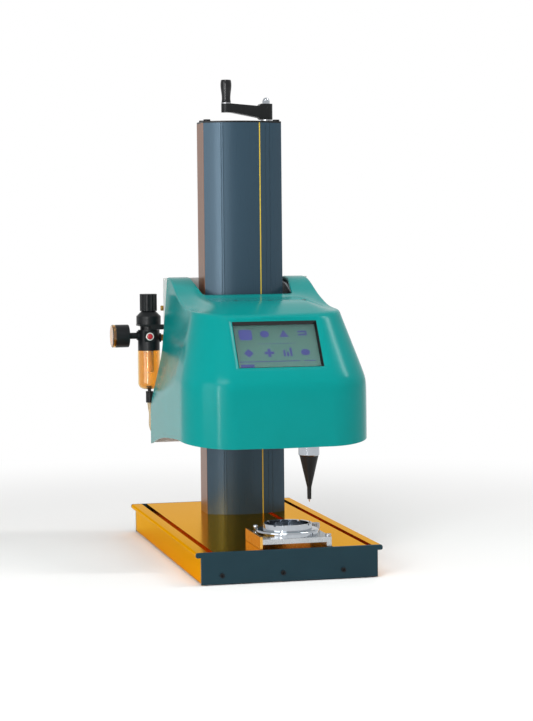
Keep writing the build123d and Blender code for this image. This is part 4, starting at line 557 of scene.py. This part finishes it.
def cover_sheet():
    """The cover's outer skin as a grid: rows up the wall, rows round the top's rim, rows
    over the top, and a lip that turns down into the passage of the column. The rim is a
    running mean of the unrounded skin, weighted by a squared cosine."""
    columns = len(column_kind)
    low = settle(lambda x, y: arch(y), np.full((columns, 1), low_start))
    high = settle(top_level, np.full((columns, 1), high_start))
    edge = wall_point(high)[:, 0]
    across = passage_points() - edge[:, :2]
    width = np.linalg.norm(across, axis=1, keepdims=True)
    across /= width
    back = np.clip((edge[:, 1:2] - rim_from_y) / (back_y - rim_from_y), 0, 1)
    round_size = rim_round - rim_round_fall * smooth_step(back, 0, rim_fall_share)
    round_size = np.minimum(round_size, width * rim_width_share)
    front_drop_share = math.cos(lean)
    corner_drop_share = front_drop_share + (side_drop_share - front_drop_share) * column_value
    drop_share = np.select([column_kind == FRONT, column_kind == CORNER],
                           [front_drop_share, corner_drop_share], side_drop_share)

    def sharp(distance):
        """The unrounded skin at a distance past the rim, negative down the wall."""
        down = wall_point(high + np.minimum(distance, 0) * drop_share)
        plan = edge[:, None, :2] + across[:, None] * np.maximum(distance, 0)[..., None]
        over = np.concatenate([plan, top_level(plan[..., 0], plan[..., 1])[..., None]], -1)
        return np.where((distance < 0)[..., None], down, over)

    samples = np.linspace(-1, 1, rim_sample_count)
    weight = np.cos(samples * math.pi / 2) ** 2
    weight /= weight.sum()
    rim_rows = np.linspace(-1, 1, rim_row_count)[None] * round_size
    ease = 1 - (rim_rows / round_size) ** 4 * rim_ease_share
    rim = sum(w * sharp(rim_rows + round_size * s * ease) for s, w in zip(samples, weight))

    share_low = np.clip((mid_level - wall_levels) / (mid_level - low_level), 0, 1)
    share_high = np.clip((wall_levels - mid_level) / (high_level - mid_level), 0, 1) ** high_spread
    wall_end = high - round_size * drop_share
    follows = np.where(column_kind == FRONT, 0.0, smooth_step(column_value, 0, follow_share))
    follows = np.where(column_kind == SIDE, 1.0, follows)
    shift_high = (wall_end - rim_level) * follows
    wall = wall_point(wall_levels[None] + (low - low_level) * share_low + shift_high * share_high)

    stops = (np.linspace(0, 1, top_row_count)[1:] ** top_row_spread)[None]
    top = sharp(stops * (width - lip_round - round_size) + round_size)
    bend = np.linspace(0, math.pi / 2, lip_row_count)[1:]
    end = edge[:, :2] + across * (width - lip_round)
    end_level = top_level(end[:, 0], end[:, 1])[:, None]
    over = end[:, None] + across[:, None] * (lip_round * np.sin(bend))[None, :, None]
    curl = np.concatenate([over, (end_level - lip_round * (1 - np.cos(bend)))[..., None]], -1)
    foot = curl[:, -1:] - np.array([0, 0, lip_drop])
    return pocket_pressed(window_edges_aligned(np.concatenate([wall, rim, top, curl, foot], 1)))


def cover_mesh():
    """The cover's skin with its window open, facing outwards, as a wall of even thickness."""
    sheet = cover_sheet()
    points = sheet.reshape(-1, 3)
    faces = grid_faces(*sheet.shape[:2])
    middle = points[faces].mean(1)
    middle_up = (middle - screen_at) @ screen_up
    in_window = ((np.abs(middle[:, 0] - middle_x) < window_half - window_margin)
                 & (np.abs(middle_up) < window_rise - window_margin) & (middle[:, 1] < 0))
    faces = faces[~in_window]
    corners = points[faces]
    normals = np.cross(corners[:, 2] - corners[:, 0], corners[:, 3] - corners[:, 1])
    if normals[np.argmin(corners[:, :, 1].mean(1)), 1] > 0:
        faces = faces[:, ::-1]
    return thicken(points, faces, wall_thickness)


cover = piece("cover_shell", *cover_mesh(), "head", "teal_shell", sharp=38)
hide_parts("head_cover")


# Display: a thin dark liner in the window and raised segments on the screen

liner_gap = 0.1
liner_wall = 0.8
liner_flange = 5.0
liner_front, flange_front, liner_back = -4.6, -7.6, -9.5
liner_lean_right, liner_lean_top = 2.2, 3.4
segment_back, segment_front = -10.68, -10.58

def on_screen(across, rise, out):
    """Points on the screen's plane from widths, rises and heights above it."""
    across, rise, out = np.broadcast_arrays(across, rise, out)
    return (screen_at + across[..., None] * np.array([1, 0, 0]) + rise[..., None] * screen_up
            + out[..., None] * screen_out)


def liner():
    """A rectangular sleeve inside the window with a flange behind the cover's wall."""
    ring = np.array([(-1, -1), (1, -1), (1, 1), (-1, 1)], float)
    outside, inside = -liner_gap, -liner_gap - liner_wall
    reach = np.array([outside, outside, liner_flange, liner_flange, inside, inside, outside])[:, None]
    out = np.array([liner_front, flange_front, flange_front, liner_back, liner_back,
                    liner_front, liner_front])[:, None]
    # the top and the right wall lean in towards the screen
    deep = np.array([0, 0, 0, 0, 1, 0, 0])[:, None]
    wide = (window_half + reach) * ring[:, 0] - liner_lean_right * deep * (ring[:, 0] > 0)
    tall = (window_rise + reach) * ring[:, 1] - liner_lean_top * deep * (ring[:, 1] > 0)
    verts = on_screen(wide, tall, out)
    return verts.reshape(-1, 3), grid_faces(len(reach), 4, closed=True)


def segments():
    """Flat plates a little above the screen: two rows of generic signs, a dashed line
    between them, a status line and a level bar. Each is an outline with its middle at a
    place on the screen."""
    turn = np.arange(24) * math.pi / 12
    circle = np.stack([np.cos(turn), np.sin(turn)], 1)
    soft_square = np.sign(circle) * np.abs(circle) ** 0.35
    box = np.array([(-1, -1), (1, -1), (1, 1), (-1, 1)], float)
    wedge = np.array([(-1, -0.9), (1, -0.9), (0, 1)], float)
    kite = np.array([(-1, 0), (0, -1), (1, 0), (0, 1)], float)
    cross = np.array([(-1, -.3), (-.3, -.3), (-.3, -1), (.3, -1), (.3, -.3), (1, -.3), (1, .3), (.3, .3),
                      (.3, 1), (-.3, 1), (-.3, .3), (-1, .3)])
    # each row: outline, its middle across and up the screen, its half width and half height
    drawn = [(soft_square, -50, 22, 11, 10), (circle, -18, 23, 7.5, 6.5), (wedge, 14, 23, 8, 7),
             (box, 45, 26.5, 7.5, 1.6), (box, 45, 20.5, 7.5, 1.6), (box, 51, 23.5, 1.5, 4.6),
             (kite, -49, -13, 8, 8), (cross, -15, -13, 8, 8), (box, 10, -14, 1.8, 6),
             (box, 15.5, -16, 1.8, 4), (box, 21, -12, 1.8, 8), (circle, 45, -13, 7.5, 6),
             (box, -16, -29, 50, 0.7), (box, 50, -29, 10, 0.7), (box, -54, -37, 11, 3)]
    drawn += [(box, -30 + 6 * i, 4.5, 2, 0.5) for i in range(11)]
    verts, faces, start = [], [], 0
    for outline, across, rise, half_wide, half_tall in drawn:
        count = len(outline)
        flat = np.array([across, rise]) + outline * np.array([half_wide, half_tall])
        verts += [on_screen(flat[:, 0], flat[:, 1], out) for out in (segment_back, segment_front)]
        faces.append(list(range(start + count, start + 2 * count)))
        faces.append(list(range(start + count - 1, start - 1, -1)))
        faces += grid_faces(2, count, start, closed=True).tolist()
        start += 2 * count
    return np.concatenate(verts), faces


liner_verts, liner_faces = liner()
sleeve = piece("window_liner", liner_verts, liner_faces, "head", "dark_plastic",
               finish=finishes["black_gloss"])
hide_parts("display_bezel")
segment_verts, segment_faces = segments()
piece("screen_segments", segment_verts, segment_faces, "head", "lcd", finish=segment_finish)


# Pieces taken over from the CAD nodes with broken edges, each with the width of the break

for name, bevel in (
    ("base_extrusion", 0.5), ("end_plates", 0.8), ("frame_screws", 0.25), ("rubber_feet", 0.6),
    ("column_extrusion", 0.35), ("column_stripe", 0.0), ("column_top_cap", 0.4),
    ("guide_rails", 0.4), ("lead_screw", 0.3), ("crank_arm", 0.9), ("crank_nut", 0.3),
    ("grip_pin", 0.3), ("handle_grip", 0.0), ("head_chassis", 0.3), ("rear_plate", 0.4),
    ("floor_tray", 0.3), ("lift_runners", 0.4), ("lift_nut", 0.4),
    ("regulator_body", 0.6), ("regulator_knob", 0.4), ("gauge_case", 0.3),
    ("button_rim", 0.4), ("release_button", 0.0), ("air_fittings", 0.25), ("regulator_bracket", 0.4),
    ("bowl_drain", 0.3), ("power_entry", 0.4), ("data_port", 0.4), ("switch_rocker", 0.6),
    ("fixture_ring", 0.3), ("turn_ring", 0.5), ("stop_post", 0.2), ("clamp_hardware", 0.3),
    ("clamp_knob", 0.25), ("stylus_barrel", 0.3), ("stylus_cone", 0.2),
):
    dressed(name, bevel)
dressed("fixture_bridge", 0.4, finish=fixture_finish)

# Nodes that keep their CAD mesh
for name in sorted(nodes):
    if not nodes[name].hide_render:
        nodes[name].data.materials.clear()
        nodes[name].data.materials.append(finishes[slot_of[name]])


# Stage, light and camera

floor_radii = (12000.0, 3000.0, 1200.0, 0.001)
floor_z = -0.2
floor_steps = 64
floor_fade_from, floor_fade_to = 450.0, 1500.0
diffuse_light = 0.27
mirrored_light = 0.8
picture_height_px = 721
focal_length_px = 1997.4
sensor_mm = 36.0
camera_place = (-745.3, -3244.7, 532.4)
camera_yaw, camera_pitch, camera_roll = 0.2361, 0.0628, -0.0096

def stage_disc():
    """A wide pale floor of rings round the Z axis, whose shade fades to white away from the
    object."""
    angle = np.arange(floor_steps) * 2 * math.pi / floor_steps
    flat = np.array(floor_radii)[:, None, None] * np.stack([-np.sin(angle), np.cos(angle)], 1)
    verts = np.concatenate([flat, np.full(flat.shape[:2] + (1,), floor_z)], -1).reshape(-1, 3)
    faces = grid_faces(len(floor_radii), floor_steps, closed=True)
    mesh = bpy.data.meshes.new("floor")
    mesh.from_pydata((verts * MM).tolist(), [], faces.tolist())
    thing = bpy.data.objects.new("floor", mesh)
    scene.collection.objects.link(thing)
    material, tree, output = blank("pale studio floor")
    coords = add(tree, "ShaderNodeTexCoord")
    far = add(tree, "ShaderNodeVectorMath", {0: coords.outputs["Object"]}, operation="LENGTH")
    fade = add(tree, "ShaderNodeMapRange", {
        "Value": far.outputs["Value"], "From Min": floor_fade_from * MM,
        "From Max": floor_fade_to * MM}, interpolation_type="SMOOTHSTEP")
    path = add(tree, "ShaderNodeLightPath")
    seen = add(tree, "ShaderNodeMath", {
        0: path.outputs["Is Camera Ray"], 1: path.outputs["Is Glossy Ray"]}, operation="MAXIMUM")
    seen = add(tree, "ShaderNodeMath", {
        0: seen.outputs[0], 1: path.outputs["Is Transmission Ray"]}, operation="MAXIMUM")
    share = add(tree, "ShaderNodeMath", {0: fade.outputs[0], 1: seen.outputs[0]}, operation="MULTIPLY")
    matt = add(tree, "ShaderNodeBsdfDiffuse", {"Color": linear("#F4F4F3")})
    white = add(tree, "ShaderNodeEmission", {"Color": (1, 1, 1, 1), "Strength": 1.0})
    mix = add(tree, "ShaderNodeMixShader", {0: share.outputs[0], 1: matt.outputs[0], 2: white.outputs[0]})
    tree.links.new(mix.outputs[0], output.inputs[0])
    mesh.materials.append(material)


stage_disc()
world = bpy.data.worlds.new("studio")
scene.world = world
world.use_nodes = True
world.node_tree.nodes.clear()
path = add(world.node_tree, "ShaderNodeLightPath")
mirrored = add(world.node_tree, "ShaderNodeMath", {
    0: path.outputs["Is Glossy Ray"], 1: path.outputs["Is Transmission Ray"]}, operation="MAXIMUM")
level = add(world.node_tree, "ShaderNodeMapRange", {
    "Value": mirrored.outputs[0], "To Min": diffuse_light, "To Max": mirrored_light})
level = add(world.node_tree, "ShaderNodeMath", {
    0: level.outputs[0], 1: path.outputs["Is Camera Ray"]}, operation="MAXIMUM")
sky = add(world.node_tree, "ShaderNodeBackground", {"Color": (1, 1, 1, 1), "Strength": level.outputs[0]})
add(world.node_tree, "ShaderNodeOutputWorld", {0: sky.outputs[0]})


def softbox(name, place, aim, wide, tall, power, mirrored=True):
    """A rectangular lamp that looks from its place to a point; mirrored says whether
    glossy surfaces show it."""
    data = bpy.data.lights.new(name, "AREA")
    data.shape = "RECTANGLE"
    data.size, data.size_y = wide, tall
    data.energy = power
    lamp = bpy.data.objects.new(name, data)
    lamp.visible_glossy = mirrored
    lamp.location = place
    lamp.rotation_euler = (Vector(aim) - Vector(place)).to_track_quat("-Z", "Y").to_euler()
    scene.collection.objects.link(lamp)


softbox("key", (-1.1, -2.1, 2.5), (0, 0, 0.4), 1.1, 1.1, 24)
softbox("left wall", (-1.75, -1.1, 0.8), (0, 0, 0.5), 1.1, 1.5, 14)
softbox("panel", (-1.1, -2.1, 0.75), (0, 0, 0.5), 0.9, 1.5, 6)
softbox("streak", (-1.2, -1.75, 0.6), (0, 0, 0.4), 0.11, 1.2, 12)
softbox("ridge", (1.5, -0.35, 2.1), (0, 0, 0.4), 0.2, 1.2, 15)
softbox("fill", (2.3, -1.6, 1.3), (0, 0, 0.35), 1.2, 1.2, 5, False)
softbox("top", (0.1, -0.3, 2.5), (0, 0, 0.3), 1.2, 1.2, 17, False)
softbox("back", (1.2, 2.2, 1.6), (0, 0, 0.35), 1.1, 1.1, 12, False)

forward = Vector((math.sin(camera_yaw) * math.cos(camera_pitch),
                  math.cos(camera_yaw) * math.cos(camera_pitch), -math.sin(camera_pitch)))
level_right = Vector((math.cos(camera_yaw), -math.sin(camera_yaw), 0))
level_up = level_right.cross(forward)
right = math.cos(camera_roll) * level_right + math.sin(camera_roll) * level_up
upward = -math.sin(camera_roll) * level_right + math.cos(camera_roll) * level_up
view = bpy.data.cameras.new("camera")
view.sensor_width = sensor_mm
view.lens = focal_length_px * sensor_mm / picture_height_px
view.clip_end = 50
camera = bpy.data.objects.new("camera", view)
turn = Matrix((right, upward, -forward)).transposed().to_4x4()
camera.matrix_world = Matrix.Translation(Vector(camera_place) * MM) @ turn
scene.collection.objects.link(camera)
scene.camera = camera
scene.view_settings.view_transform = "Standard"
